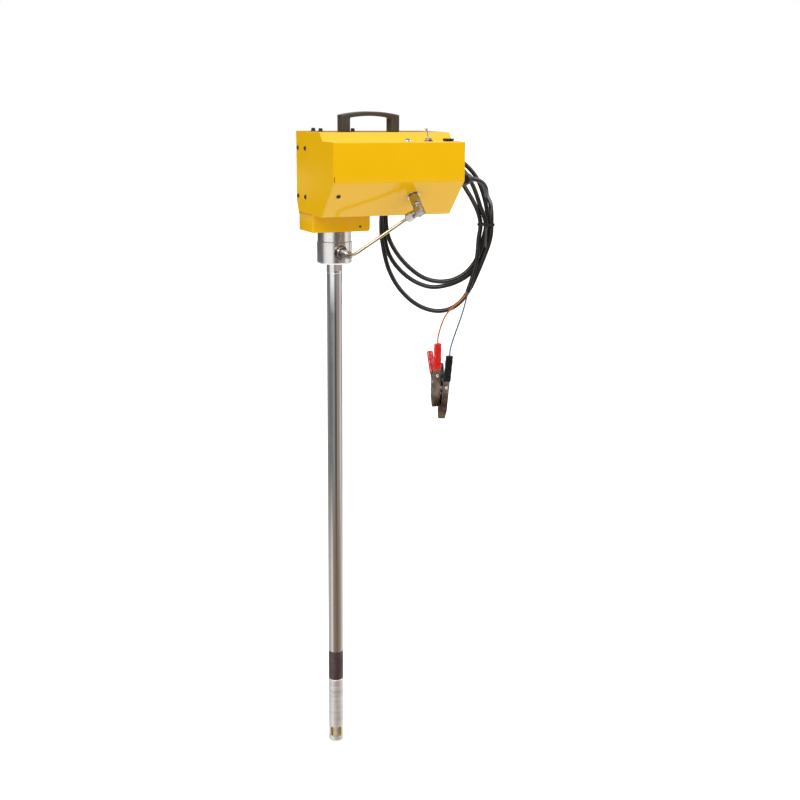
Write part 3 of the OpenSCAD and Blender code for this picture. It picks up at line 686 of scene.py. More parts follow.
ORANGE = [CEND - CSIDE * 2, CEND - CSIDE * 2 + CDIR * 8] + [Vector(coil(p)) for p in [(228, -11, -88), (216, -12, -98), (205, -12, -111), (197, -11, -128), (192, -8, -146)]] + [RED_TOP + Vector((0, 0, 10)), RED_TOP]
BLUE = [CEND + CSIDE * 2, CEND + CSIDE * 2 + CDIR * 8] + [Vector(coil(p)) for p in [(238, -11, -98), (232, -8, -120), (225, -4, -142), (219, 0, -162)]] + [BLACK_TOP + LEANV * 12, BLACK_TOP]


cable_line, orange_line, blue_line = spline(CABLE, 6), spline(ORANGE, 8), spline(BLUE, 8)
cable = curve_piece("cable", cable_line, CABLE_D, "cable", HOUSE, "power_cable", 6)
orange = curve_piece("wire_orange", orange_line, WIRE_D, "orange", HOUSE, "orange_wire", 4)
blue = curve_piece("wire_blue", blue_line, WIRE_D, "blue", HOUSE, "blue_wire", 4)

# ------------------------------------------------------------------ more shape helpers


def inset_poly(P, d):
    """Miter offset of a counter-clockwise outline, inward by d."""
    n, out = len(P), []
    for i in range(n):
        a, b, c = Vector(P[i - 1]), Vector(P[i]), Vector(P[(i + 1) % n])
        u, v = (b - a).normalized(), (c - b).normalized()
        nu, nv = Vector((-u.y, u.x)), Vector((-v.y, v.x))
        q = b + (nu + nv) * (d / max(1 + nu.dot(nv), 0.25))
        out.append((q.x, q.y))
    return out


def rounded_prism(P, h0, h1, r, m=None, seg=3):
    """A counter-clockwise outline extruded from h0 to h1 with its edges rounded by r."""
    rings = [(r * (1 - sin(pi / 2 * k / seg)), h0 + r * (1 - cos(pi / 2 * k / seg))) for k in range(seg + 1)]
    rings += [(r * (1 - cos(pi / 2 * k / seg)), h1 - r * (1 - sin(pi / 2 * k / seg))) for k in range(seg + 1)]
    n, vs, fs = len(P), [], []
    for d, h in rings:
        vs += [(x, y, h) for x, y in (inset_poly(P, d) if d > 1e-6 else P)]
    for i in range(len(rings) - 1):
        for k in range(n):
            q = (k + 1) % n
            fs.append((i * n + k, i * n + q, (i + 1) * n + q, (i + 1) * n + k))
    fs.append(tuple(range(n - 1, -1, -1)))
    fs.append(tuple((len(rings) - 1) * n + k for k in range(n)))
    if m is not None:
        vs = [tuple(m @ Vector(v)) for v in vs]
    return vs, fs


def rect(x0, y0, x1, y1, r=0, seg=4):
    P = [(x0, y0), (x1, y0), (x1, y1), (x0, y1)]
    return fillet(P, r, seg) if r else P


def block_of(a, b, r=0.4, rc=None, axis="z", m=None):
    """A box with rounded edges; axis is the direction that it is extruded along."""
    if axis == "z":
        q, pl, h = Matrix.Identity(4), (a[0], a[1], b[0], b[1]), (a[2], b[2])
    elif axis == "x":
        q, pl, h = Matrix(((0, 0, 1, 0), (1, 0, 0, 0), (0, 1, 0, 0), (0, 0, 0, 1))), (a[1], a[2], b[1], b[2]), (a[0], b[0])
    else:
        q, pl, h = Matrix(((0, 1, 0, 0), (0, 0, 1, 0), (1, 0, 0, 0), (0, 0, 0, 1))), (a[2], a[0], b[2], b[0]), (a[1], b[1])
    return rounded_prism(rect(*pl, rc or r * 1.5), h[0], h[1], r, (m @ q) if m is not None else q)


def superr(A, B, p=3.0, dx=0.0):
    """Radius of a superellipse as a function of the angle."""
    return lambda a: 1.0 / ((abs(cos(rad(a))) / A) ** p + (abs(sin(rad(a))) / B) ** p) ** (1 / p)


def open_sheet(name, vs, fs, mat, body, rep, t, centre, edge=0.3, smooth=32, m=None):
    """A sheet surface facing away from centre (mm), given its thickness inward and rounded cut edges."""
    bm = bmesh.new()
    vv = [bm.verts.new((m @ Vector(v)) if m is not None else Vector(v)) for v in vs]
    for f in fs:
        try:
            bm.faces.new([vv[i] for i in f])
        except ValueError:
            pass
    bmesh.ops.remove_doubles(bm, verts=bm.verts, dist=1e-4)
    bmesh.ops.recalc_face_normals(bm, faces=bm.faces)
    c = Vector(centre)
    if sum((f.calc_center_median() - c).dot(f.normal) * f.calc_area() for f in bm.faces) < 0:
        bmesh.ops.reverse_faces(bm, faces=bm.faces)
    bmesh.ops.scale(bm, vec=(S, S, S), verts=bm.verts)
    me = bpy.data.meshes.new(name)
    bm.to_mesh(me)
    bm.free()
    o = bpy.data.objects.new(name, me)
    scene.collection.objects.link(o)
    me.materials.append(M[mat])
    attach(o, body)
    if rep:
        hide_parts(*([rep] if isinstance(rep, str) else rep))
    solidify(o, t)
    apply_mods(o)
    finish_mesh(o.data, smooth)
    if edge:
        bevel(o, edge, 2, 50)
    return o


def hole(o, r, m, h0=-20, h1=20, n=40):
    cut(o, *polar([(0, h0), (r, h0), (r, h1), (0, h1)], n, m))


def dress(node, mat, width=0.0, seg=2):
    """A CAD node that stays: flat facets merged, edges rounded, and a procedural finish."""
    o = nodes[node]
    o.data.materials.clear()
    o.data.materials.append(M[mat] if isinstance(mat, str) else mat)
    for p in o.data.polygons:
        p.use_smooth = True
    o.data.set_sharp_from_angle(angle=rad(25))
    if width:
        md = o.modifiers.new("flats", "DECIMATE")
        md.decimate_type = "DISSOLVE"
        md.angle_limit = rad(0.8)
        bevel(o, width, seg, 35)
    return o


# ------------------------------------------------------------------ housing
# front shell: one bent strip, from the top of the rear wall round the front to the underside
path = fillet([(45.2, 229), (-71, 229), (-84, 215), (-134, 215), (-134, 148.5), (-78, 88), (35.2, 88)],
              [0, 2.4, 2.4, 2.0, 2.4, 2.4, 0], 6, closed=False)
xs = [-52.45, -50.0, 67.0, 184.0, 186.45]
vs = [(x, y, z) for x in xs for y, z in path]
L = len(path)
fs = [(i * L + k, i * L + k + 1, (i + 1) * L + k + 1, (i + 1) * L + k) for i in range(len(xs) - 1) for k in range(L - 1)]
front = open_sheet("front_shell", vs, fs, "yellow", HOUSE, "front_shell", T, (67, -30, 160), edge=0)
cut(front, *boxes((-52.6, -136, 149.6), (-51.35, -131, 158.6)))
bevel(front, 0.3, 2, 50)

# rear shell: both end plates and the rear wall, bent from one sheet
plan = fillet([(-54, 40), (-54, 47), (188, 47), (188, 40)], [0, 2.6, 2.6, 0], 6, closed=False)
plan = [plan[0]] + plan[1:-1] + [plan[-1]]
drop = fillet([(0, 229), (0, 110), (-10, 88)], [0, 5, 0], 5, closed=False)
W = len(plan)
vs = [(x, y + s, z) for s, z in drop for x, y in plan]
fs = [(i * W + k, i * W + k + 1, (i + 1) * W + k + 1, (i + 1) * W + k) for i in range(len(drop) - 1) for k in range(W - 1)]
edge_out = fillet([(40, 229), (-71, 229), (-84, 215), (-134, 215), (-134, 148.5), (-78, 88), (30, 88)],
                  [0, 2.8, 2.0, 1.2, 2.8, 2.8, 0], 6, closed=False)
for side, x in ((0, -54), (W - 1, 188)):
    o0 = len(vs)
    vs += [(x, y, z) for y, z in edge_out]
    loop = list(range(o0, o0 + len(edge_out))) + [i * W + side for i in range(len(drop) - 2, 0, -1)]
    fs.append(tuple(loop))
rear = open_sheet("rear_shell", vs, fs, "yellow", HOUSE, "rear_shell", T, (67, -30, 160), edge=0)
hole(rear, 10.1, tr(188, -105, GLAND_Z) @ ry(90), -4, 4, 48)
bevel(rear, 0.35, 3, 50)

# screw tab behind the slanted panel, part of the same sheet
tab = put("rear_tab", *block_of((-52.5, -40, -3.0 - 0.05), (-30, 0, -T - 0.05), 0.3, 2.0, m=slant(0, 12)), "yellow", HOUSE, slot="yellow_paint")

# skirt: an open box, front, left and rear walls under a flat top
plan = fillet([(53.6, -35), (-54, -35), (-54, 35), (53.6, 35)], [0, 3.2, 3.2, 0], 6, closed=False)
W = len(plan)


def inward(P, d):
    """Offset an open outline to its left by d, keeping x at its two ends."""
    out = []
    for i, p in enumerate(P):
        a, b = Vector(P[max(i - 1, 0)]), Vector(P[min(i + 1, len(P) - 1)])
        t = (b - a).normalized()
        out.append((p[0] + t.y * d * (0 if i in (0, len(P) - 1) else 1), p[1] - t.x * d))
    return out


rows = [(0, 58), (0, 70)] + [(2.6 * (1 - cos(rad(15 * k))), 85.4 + 2.6 * sin(rad(15 * k))) for k in range(7)]
vs = [(x, y, z) for d, z in rows for x, y in inward(plan, -d)]
fs = [(i * W + k, i * W + k + 1, (i + 1) * W + k + 1, (i + 1) * W + k) for i in range(len(rows) - 1) for k in range(W - 1)]
fs.append(tuple((len(rows) - 1) * W + k for k in range(W)))
skirt = open_sheet("skirt_bracket", vs, fs, "yellow", HOUSE, "skirt_bracket", 2.0, (0, 0, 74), edge=0)
arc = [(48.6 + 5 * cos(rad(a)), 63 - 5 * sin(rad(a))) for a in range(0, 91, 10)]
corner = [(56, 63), (53.6, 63)] + arc[1:] + [(48.6, 56), (56, 56)]
XZ = Matrix(((1, 0, 0, 0), (0, 0, 1, 0), (0, 1, 0, 0), (0, 0, 0, 1)))
cut(skirt, *prism(corner, -40, 40, XZ))
hole(skirt, 1.7, tr(35, -34, 66.5) @ rx(90), -4, 4, 32)
bevel(skirt, 0.35, 3, 50)
# a plastic plug fills the skirt hole; its dark olive colour is painted shade for the shaded hole
put("skirt_plug", *polar([(0, -2.4), (1.3, -2.4), (1.6, -2.1), (1.6, 0.02), (2.1, 0.02), (2.2, 0.12), (2.05, 0.3), (1.6, 0.43), (0.9, 0.49), (0, 0.5)], 48, tr(35, -35, 66.5) @ rx(90)),
    "plug", HOUSE, "skirt_plug", "black_plastic", smooth=50)

# handle: a moulded arch on two posts
zo = [(x, 14.4 + math.sqrt(249 ** 2 - (x - 49.75) ** 2)) for x in [103.5 - 4.3 * k for k in range(26)]]
zi = [(x, 14.4 + math.sqrt(241.5 ** 2 - (x - 49.75) ** 2)) for x in [11.5 + 4.5 * k for k in range(18)]]
outline = [(103.5, 229.02)] + zo + [(-4, 229.02), (11.5, 229.02)] + zi + [(88, 229.02)]
radii = [3.0 if i in (len(zo) + 3, len(outline) - 2) else 0 for i in range(len(outline))]
arch = fillet(outline, radii, 5)
YZX = Matrix(((1, 0, 0, 0), (0, 0, -1, 0), (0, 1, 0, 0), (0, 0, 0, 1)))  # (x, z, -y)
hv, hf = rounded_prism(arch, 24, 48, 2.4, YZX, 5)
handle = put("carry_handle", hv, hf, "handle", HOUSE, "carry_handle", "handle_plastic", smooth=40)
bevel(handle, 0.9, 3, 50)


def button(m):
    """Domed socket head, 7.8 mm across, with a shank behind it."""
    R, h = 3.9, 2.2
    rings = [(0, -9), (1.9, -9), (1.95, -0.2), (R - 0.15, 0.0), (R, 0.2)]
    for k in range(1, 7):
        a = 90 * k / 7
        rings.append((1.75 + (R - 1.75) * cos(rad(a)), 0.25 + (h - 0.25) * sin(rad(a))))
    hx = hexr(2.5)
    rings += [(1.72, h), (lambda a: hx(a) + 0.06, h - 0.1), (hx, h - 0.3), (lambda a: hx(a) * 0.98, 0.9), (0, 0.7)]
    return polar(rings, 48, m)


LEFT = [tr(X0, y, z) @ ry(-90) for y in (-1.5, 35) for z in (117.5, 200.5)]
HOOKS = [tr(X1 + 3, -12, z) @ ry(90) for z in (172, 196)]
put("panel_screws", *joined(*[button(m) for m in LEFT + [slant(-36.7, 31.4)] + HOOKS]), "screw", HOUSE, "panel_screws", "black_screw", smooth=28)


def cap_screw(m):
    """Socket cap screw on a plain washer, with a knurled head."""
    kn = lambda r: (lambda a: r + 0.09 * cos(rad(a * 30)))
    hx = hexr(3)
    head = polar([(0, -11), (1.9, -11), (1.95, 1.0), (3.2, 1.22), (kn(3.38), 1.5), (kn(3.42), 4.7), (3.25, 5.1), (3.0, 5.38), (1.9, 5.4),
                  (lambda a: hx(a) + 0.08, 5.3), (hx, 5.05), (lambda a: hx(a) * 0.98, 3.1), (0, 2.9)], 180, m)
    return joined(head, rounded_ring(2.1, 4.5, 0.02, 1.2, 0.25, m, 48))


put("top_screws", *joined(*[cap_screw(tr(x, y, 229)) for x in (-25, 35) for y in (0, 36)]), "screw", HOUSE, "top_screws", "black_screw", smooth=28)

# ------------------------------------------------------------------ controls on the ledge
AT = tr(130, CTL_Y, CTL_Z)
ridge = []
z = 2.4
while z < 5.2:
    ridge += [(5.98, z), (5.98, z + 0.08), (5.6, z + 0.34), (5.6, z + 0.42)]
    z += 0.75
bush = polar([(3.4, 3.6)] + [(3.4, -1), (5.9, -1)] + [(5.95, 1.0)] + ridge + [(5.8, 5.3), (5.5, 5.5), (4.1, 5.5), (3.5, 4.6)], 64, AT, loop=True)
body = block_of((-13, -8, -T - 29), (13, 8, -T - 1), 0.8, 1.5, m=AT)
legs = [block_of((x - 1, -3, -T - 36), (x + 1, 3, -T - 28), 0.2, 0.3, m=AT) for x in (-8, 0, 8)]
put("switch_body", *joined(bush, body, *legs), "plated", HOUSE, "switch_body", "plated_steel")
put("switch_nut", *nut(15, 0.02, 2.6, 6.03, AT), "plated", HOUSE, "switch_nut", "plated_steel", smooth=25)
LEV = tr(130, CTL_Y, CTL_Z + 2) @ ry(-14)
ball = [(2.6 * cos(rad(a)), 2.6 * sin(rad(a))) for a in range(-80, 45, 12)]
tip = [(2.6 * cos(rad(a)), 20 + 2.6 * sin(rad(a))) for a in range(0, 85, 12)]
put("switch_lever", *polar([(0, -2.6)] + ball + [(1.62, 2.0), (1.7, 3.2), (2.1, 10), (2.58, 19)] + tip + [(0, 22.6)], 48, LEV),
    "chrome", "lever", "switch_lever", "chromed", smooth=60)

AT = tr(91, CTL_Y, CTL_Z)
bez = [(4.85, 1.0), (4.85, 1.7), (5.15, 2.1), (5.6, 2.2)] + [(6.2 + 0.8 * sin(rad(a)), 1.4 + 0.8 * cos(rad(a))) for a in range(15, 91, 15)] + [(7, 0.3), (6.8, 0.02), (5.95, 0.0), (5.95, -25.6), (5.6, -26), (4.85, -26)]
put("lamp_body", *polar(bez, 64, AT, loop=True), "chrome", HOUSE, "lamp_body", "plated_steel", smooth=35)
dome = [(4.75 * cos(rad(a)), 1.9 + 3.2 * sin(rad(a))) for a in range(10, 88, 8)]
put("lamp_lens", *polar([(0, -7.5), (4.6, -7.5), (4.75, -7.2), (4.75, 1.9)] + dome + [(0, 5.1)], 64, AT), "lens", HOUSE, "lamp_lens", "lamp_green", smooth=60)

AT = tr(168, CTL_Y, CTL_Z)
put("fuse_body", *polar([(4.25, 0.9), (4.5, 1.2), (8.6, 1.2), (9.0, 0.9), (9.0, 0.02), (6.5, 0.0), (6.5, -37), (6.1, -38), (4.25, -38)], 64, AT, loop=True),
    "black_plastic", HOUSE, "fuse_body", "black_plastic")
flute = lambda r: (lambda a: r - 0.55 * max(0.0, cos(rad(a * 20))) ** 3)
fuse = put("fuse_cap", *polar([(0, -30), (3.7, -30), (4.0, -29.6), (4.0, 1.45), (flute(9.6), 1.5), (flute(9.98), 1.8), (flute(9.98), 3.9), (flute(9.75), 4.35), (9.0, 4.6), (6.6, 4.55), (6.3, 4.45), (0, 4.4)], 216, AT),
           "black_plastic", "cap", "fuse_cap", "black_plastic", smooth=28)
cut(fuse, *boxes((162, CTL_Y - 0.8, CTL_Z + 3.7), (174, CTL_Y + 0.8, CTL_Z + 6)))

# ------------------------------------------------------------------ cable gland, hook and tie
G = tr(X1, -105, GLAND_Z) @ ry(90)
thread = []
z = 8.4
while z < 11.5:
    thread += [(9.4, z), (9.0, z + 0.4)]
    z += 0.8
put("gland_body", *joined(
    rounded_ring(4.6, 14.2, 0.02, 1.4, 0.35, G, 72), nut(24, 1.4, 8.0, 4.6, G, 0.95, 96),
    polar([(4.6, -11), (9.7, -11), (10, -10.6), (10, 0.6), (4.6, 0.6)], 64, G, loop=True),
    nut(26, -T - 6, -T, 10.02, G, 0.95, 96),
    polar([(4.6, 7.8), (9.2, 7.8)] + thread + [(9.1, 11.9), (8.7, 12), (4.6, 12)], 64, G, loop=True)),
    "black_plastic", HOUSE, "gland_body", "black_plastic", smooth=28)
hx = hexr(24)
domed = [(11.75, 16.2), (11.6, 17.0), (11.3, 18.2), (10.8, 19.8), (10.1, 21.5), (9.3, 23.2), (8.4, 24.9), (7.6, 26.2), (7.1, 26.8), (6.6, 27.0), (5.2, 27.0), (4.7, 26.6), (4.6, 26.0)]
gn = [(9.5, 8.6), (9.8, 8.4), (11.3, 8.4), (hx, lambda a: 8.4 + (hx(a) - 11.3) * 0.5), (hx, lambda a: 17.0 - (hx(a) - 11.6) * 0.9)] + domed[1:] + [(4.6, 12.2), (9.5, 12.2)]
put("gland_nut", *polar(gn, 120, G, loop=True), "black_plastic", HOUSE, "gland_nut", "black_plastic", smooth=30)

COILM = rz(-25)
hook_plate = rounded_prism(rect(-26, 164, 8, 204, 3, 5), X1 + 0.02, X1 + 3, 0.5, Matrix(((0, 0, 1, 0), (1, 0, 0, 0), (0, 1, 0, 0), (0, 0, 0, 1))))
PEG = COILM @ tr(177, 76, 181.4) @ rx(-90)
peg = polar([(0, 0), (3.9, 0), (4.0, 0.3), (4.0, 84.5), (4.4, 85)] + [(0, 85)], 48, PEG)
DISC = COILM @ tr(177, 161, 184) @ rx(-90)
disc = rod(13, 0, 3, 0.8, DISC, 72)
put("cable_hook", *joined(hook_plate, peg, disc), "motor", HOUSE, "cable_hook", "motor_paint")

# tie: a closed strap round the four cables, with its head and ridged tail
cs = [(266, 132), (286.4, 128.6), (281, 141.5)]
section = [(-0.6, 0.5), (-0.35, 0.15), (-0.1, 0.0), (0.35, 0.15), (0.6, 0.5), (0.6, 4.3), (0.35, 4.65), (-0.1, 4.8), (-0.35, 4.65), (-0.6, 4.3)]
vs, fs, NB = [], [], 96
for k in range(NB):
    a = 2 * pi * k / NB
    d = Vector((cos(a), sin(a)))
    c = max(cs, key=lambda q: Vector(q).dot(d))
    for off, h in section:
        p = Vector(c) + d * (CABLE_D / 2 + 1.3 + off)
        vs.append((p.x, p.y, 55.6 + h))
q = len(section)
for k in range(NB):
    for i in range(q):
        j, kk = (i + 1) % q, (k + 1) % NB
        fs.append((k * q + i, k * q + j, kk * q + j, kk * q + i))
band = ([tuple(COILM @ Vector(v)) for v in vs], fs)
yt = 132 - CABLE_D / 2
tie_head = block_of((273, yt - 7.2, 54.6), (279, yt - 2.7, 61.4), 0.6, 1.0, m=COILM)
prof = [(yt - 5.4, 55.6), (yt - 5.4, 16.5), (yt - 5.7, 16.0), (yt - 6.2, 16.4)]
z = 17.0
while z < 55:
    prof += [(yt - 6.58, z), (yt - 6.25, z + 0.9)]
    z += 1.1
prof += [(yt - 6.5, 55.6)]
tail = prism([(b, a) for a, b in prof], 274, 278, COILM @ Matrix(((0, 0, 1, 0), (0, 1, 0, 0), (1, 0, 0, 0), (0, 0, 0, 1))))
put("cable_tie", *joined(band, tie_head, tail), "tie", HOUSE, "cable_tie", "black_plastic", smooth=25)

# ------------------------------------------------------------------ battery clamps
TEETH = [q for z in range(-18, -43, -4) for q in ((0.5, z), (2.1, z - 2))]
JAW_EDGE = [(-7.4, 74), (-7.4, 26), (-6.6, 24), (-3.5, 10), (3, 6), (4, 0), (3, -6), (-0.5, -14)] + [(-y, z) for y, z in TEETH] + [(-0.5, -46.5), (-2, -49)]
ARM_EDGE = [(23.6, 52), (9.6, 10.6), (1, 8), (-3, 5), (-4, 0), (-3, -6), (0.5, -14)] + TEETH + [(0.5, -46.5), (2, -49)]


def channel(edge, back, hw, extra):
    """A U-channel: rows down the part, each from one web's edge round the back to the other's."""
    zs = sorted({z for _, z in edge} | set(extra), reverse=True)

    def at(P, z):
        for (y0, z0), (y1, z1) in zip(P, P[1:]):
            if z1 <= z <= z0:
                return y0 if z0 == z1 else y0 + (y1 - y0) * (z0 - z) / (z0 - z1)
        return P[-1][0]

    vs, fs, sgn = [], [], 1 if back[0][0] > 0 else -1
    R = 1.3
    for z in zs:
        e, b = at(edge, z), at(back, z)
        row = [(-hw, e), (-hw, (e + b - sgn * R) / 2)]
        row += [(-hw + R * (1 - cos(rad(a))), b - sgn * R * (1 - sin(rad(a)))) for a in range(0, 91, 18)]
        row += [(0, b)]
        row += [(hw - R * (1 - sin(rad(a))), b - sgn * R * (1 - cos(rad(a)))) for a in range(0, 91, 18)]
        row += [(hw, (e + b - sgn * R) / 2), (hw, e)]
        vs += [(x, y, z) for x, y in row]
    n = len(vs) // len(zs)
    for i in range(len(zs) - 1):
        for k in range(n - 1):
            fs.append((i * n + k, i * n + k + 1, (i + 1) * n + k + 1, (i + 1) * n + k))
    return vs, fs


JAW_BACK = [(-9, 74), (-9, -32), (-4.2, -49)]
ARM_BACK = [(25.5, 52), (9, 5), (9, -32), (4.2, -49)]


def grip(m):
    """The dipped sleeve on the wire handle, with finger waves."""
    def ring(z):
        w = 0.5 - 0.5 * cos(2 * pi * (z - 24) / 15.5)
        f = superr(7.22 + 0.30 * w, 3.15 + 0.72 * w, 3.2)
        return f
    rings = [(superr(7.05, 1.1, 6), 40), (superr(7.1, 1.5, 6), 27.2), (superr(7.1, 2.6, 4), 26.1), (superr(7.15, 3.0, 3.4), 25.95)]
    z = 26.4
    while z <= 75.0:
        rings.append((ring(z), z))
        z += 1.2
    rings += [(superr(7.0, 3.1, 3), 75.9), (superr(6.6, 2.7, 2.8), 76.6), (superr(5.6, 2.0, 2.6), 76.95), (0, 77)]
    return polar([(0, 40)] + rings, 72, m @ tr(0, -8.5, 0))


def arm_grip(m):
    q = m @ tr(0, 8.5, 5.2) @ rx(-19.35)
    rings = [(superr(5.5, 0.6, 6), 30), (superr(5.6, 1.4, 4), lambda a: 12.5 + 1.6 * sin(rad(a))), (superr(5.9, 2.4, 3), lambda a: 9.6 + 1.6 * sin(rad(a))),
             (superr(6.1, 2.8, 2.8), lambda a: 9.4 + 1.6 * sin(rad(a))), (superr(6.2, 3.0, 2.6), lambda a: 10 + 1.6 * sin(rad(a)))]
    for z in range(14, 51, 3):
        w = 0.5 - 0.5 * cos(2 * pi * (z - 8) / 15.0)
        t = (z - 10) / 40
        rings.append((superr(6.15 + 0.35 * t, 3.05 + 0.25 * w + 0.25 * t, 2.6), z))
    rings += [(superr(6.2, 3.3, 2.5), 52), (superr(5.4, 2.8, 2.3), 53.2), (superr(3.9, 1.9, 2.2), 53.85), (0, 54)]
    return polar([(0, 30)] + rings, 64, q)


def rivet(m):
    q = m @ tr(0, 0, 13) @ rx(90)
    return joined(
        polar([(0, 6.4), (2.1, 6.4), (2.2, 6.7), (2.2, 8.0), (1.6, 8.1), (1.6, 8.95), (3.0, 9.0), (3.3, 9.25), (3.25, 9.6), (2.9, 10.0), (2.3, 10.2), (1.7, 10.1),
               (1.15, 9.7), (0.95, 9.1), (0.9, 8.5), (0, 8.4)], 48, q))


def pivot(m):
    q = m @ ry(90)
    head = [(3.2, 7.1), (3.15, 7.35), (2.8, 7.75), (2.1, 8.05), (1.1, 8.2), (0, 8.2)]
    rings = [(r, -h) for r, h in reversed(head)] + [(2, -7.05), (2, 7.05)] + head
    return polar(rings, 40, q)


def spring(m):
    up = Vector((0, -4.2, 14)).normalized()
    dn = Vector((0, 4.4, 5.6)).normalized()
    P = [Vector((2.9, -2.9, 1)) + up * s for s in (14.2, 10, 6, 3, 1.2)]
    a0, a1 = math.atan2(1, -2.9), math.atan2(1, 2.9) - 2 * pi * 4
    for k in range(97):
        a = a0 + (a1 - a0) * k / 96
        P.append(Vector((2.9 - 5.5 * k / 96, 3.3 * cos(a), 3.3 * sin(a))))
    P += [Vector((-2.6, 2.9, 1)) + dn * s for s in (1.2, 2.6, 4.8)]
    vs, fs = sweep(P, 0.55, 10)
    return [tuple(m @ Vector(v)) for v in vs], fs


for tag, at, mat, slotname in (("red", AT_RED, "red_vinyl", "vinyl_red"), ("black", AT_BLACK, "black_vinyl", "vinyl_black")):
    arm = tag + "_arm_body"
    v, f = channel(JAW_EDGE, JAW_BACK, 7.0, [40, 13, 2, -10, -32])
    open_sheet(tag + "_jaw", v, f, "jaw", HOUSE, tag + "_jaw", 1.0, tuple(at @ Vector((0, 3, -10))), 0.16, 30, at)
    v, f = channel(ARM_EDGE, ARM_BACK, 5.4, [40, 26, 2, -10, -32])
    open_sheet(tag + "_arm", v, f, "jaw", arm, tag + "_arm", 1.0, tuple(at @ Vector((0, -3, -10))), 0.16, 30, at)
    put(tag + "_grip", *grip(at), mat, HOUSE, tag + "_grip", slotname, smooth=50)
    put(tag + "_arm_grip", *arm_grip(at), mat, arm, tag + "_arm_grip", slotname, smooth=50)
put("jaw_pivots", *joined(pivot(AT_RED), pivot(AT_BLACK)), "plated", HOUSE, "jaw_pivots", "plated_steel", smooth=40)
put("jaw_springs", *joined(spring(AT_RED), spring(AT_BLACK)), "dark_steel", HOUSE, "jaw_springs", "dark_steel", smooth=60)
put("wire_rivets", *joined(rivet(AT_RED), rivet(AT_BLACK)), "zinc", HOUSE, "wire_rivets", "zinc_steel", smooth=45)

# ------------------------------------------------------------------ fittings and the pressure pipe
ELX, ELS, EL_ANG = 101.6, 33.4, 49.0
E = slant(ELX, ELS)
PE = E @ Vector((0, 0, 34.5))
PD = ((E @ Vector((-cos(rad(EL_ANG)), -sin(rad(EL_ANG)), 34.5))) - PE).normalized()
hx17 = hexr(17)
bulk = joined(
    rounded_ring(6.0, 11.0, 0.02, 1.5, 0.4, E, 72),
    polar([(2.5, -T - 14), (5.6, -T - 14), (6, -T - 13.5), (6, 1.6), (7.9, 1.52), (8.2, 1.7), (hx17, lambda a: 1.7 + (hx17(a) - 8.2) * 0.55),
           (hx17, lambda a: 20.2 - (hx17(a) - 8.0) * 0.7), (8.0, 20.3), (7.6, 20.4), (5.95, 20.4), (5.6, 21.0), (5.95, 21.5), (5.95, 23.6), (5.6, 24), (2.5, 24)], 96, E, loop=True))
put("bulkhead_body", *bulk, "plated", HOUSE, "bulkhead_body", "plated_steel", smooth=28)

# elbow: forged body blended by a remesh, with turned collars
EB = E @ tr(0, 0, 34.5) @ rz(EL_ANG)
core = joined(
    rounded_prism(rect(-7.5, -7.5, 7.5, 7.5, 2.4, 4), -8.5, 8, 2.0, EB, 4),
    rod(8.0, -12.2, -6.0, 0.5, EB, 64),
    rod(7.0, 5.0, 12.4, 0.5, EB @ ry(-90), 64))
elbow = put("pipe_elbow", *core, "plated_rough", HOUSE, "pipe_elbow", "plated_steel", smooth=60)
md = elbow.modifiers.new("forge", "REMESH")
md.mode = "VOXEL"
md.voxel_size = 0.42 * S
md = elbow.modifiers.new("soften", "SMOOTH")
md.factor = 0.5
md.iterations = 5
apply_mods(elbow)
for p in elbow.data.polygons:
    p.use_smooth = True
elbow.data.set_sharp_from_angle(angle=rad(80))
put("elbow_collar", *joined(rounded_ring(6.03, 8.3, -12.9, -10.6, 0.35, EB, 72),
                            polar([(3.03, 11.6), (6.4, 11.6), (6.7, 11.9), (6.7, 12.3), (6.3, 12.6), (5.0, 12.7), (5.0, 17.6), (4.7, 18), (3.03, 18)], 64, EB @ ry(-90), loop=True)),
    "plated", HOUSE, slot="plated_steel", smooth=28)


def pipe_nut(m):
    hx = hexr(14)
    rings = [(5.1, 0.2), (5.5, 0.0), (6.5, 0.0), (6.7, 0.2), (hx, lambda a: 0.2 + (hx(a) - 6.7) * 0.55), (hx, lambda a: 12.4 - (hx(a) - 6.6) * 0.7), (6.6, 12.4),
             (5.3, 12.6), (5.1, 13.7), (4.7, 14.1), (3.4, 14.1), (3.1, 13.8), (3.1, 8), (5.1, 5.2)]
    return polar(rings, 72, m, loop=True)


put("pipe_nuts", *joined(pipe_nut(frame_of(PE + PD * 13.4, PD)), pipe_nut(frame_of((0, -55.9, ZPORT), (0, -1, 0)))),
    "plated", HOUSE, "pipe_nuts", "plated_steel", smooth=26)
PB, PK = PE + PD * 37, Vector((0, -84, ZPORT))


def bend(c, a, b, R, n=12):
    """Points on a bend of radius R at corner c, from direction a to direction b."""
    half = math.acos(max(-1, min(1, a.dot(b)))) / 2
    side = (b - a * a.dot(b)).normalized()
    s = c - a * (R * math.tan(half))
    o = s + side * R
    return [o + (a * sin(2 * half * k / n) - side * cos(2 * half * k / n)) * R for k in range(n + 1)]


PQ = (PK - PB).normalized()
PIPE = [PE + PD * 14] + bend(PB, PD, PQ, 40, 8) + bend(PK, PQ, Vector((0, 1, 0)), 17, 18) + [Vector((0, -56.5, ZPORT))]
put("pressure_pipe", *sweep(PIPE, 3.0, 28), "pipe", HOUSE, "pressure_pipe", "plated_steel", smooth=50)

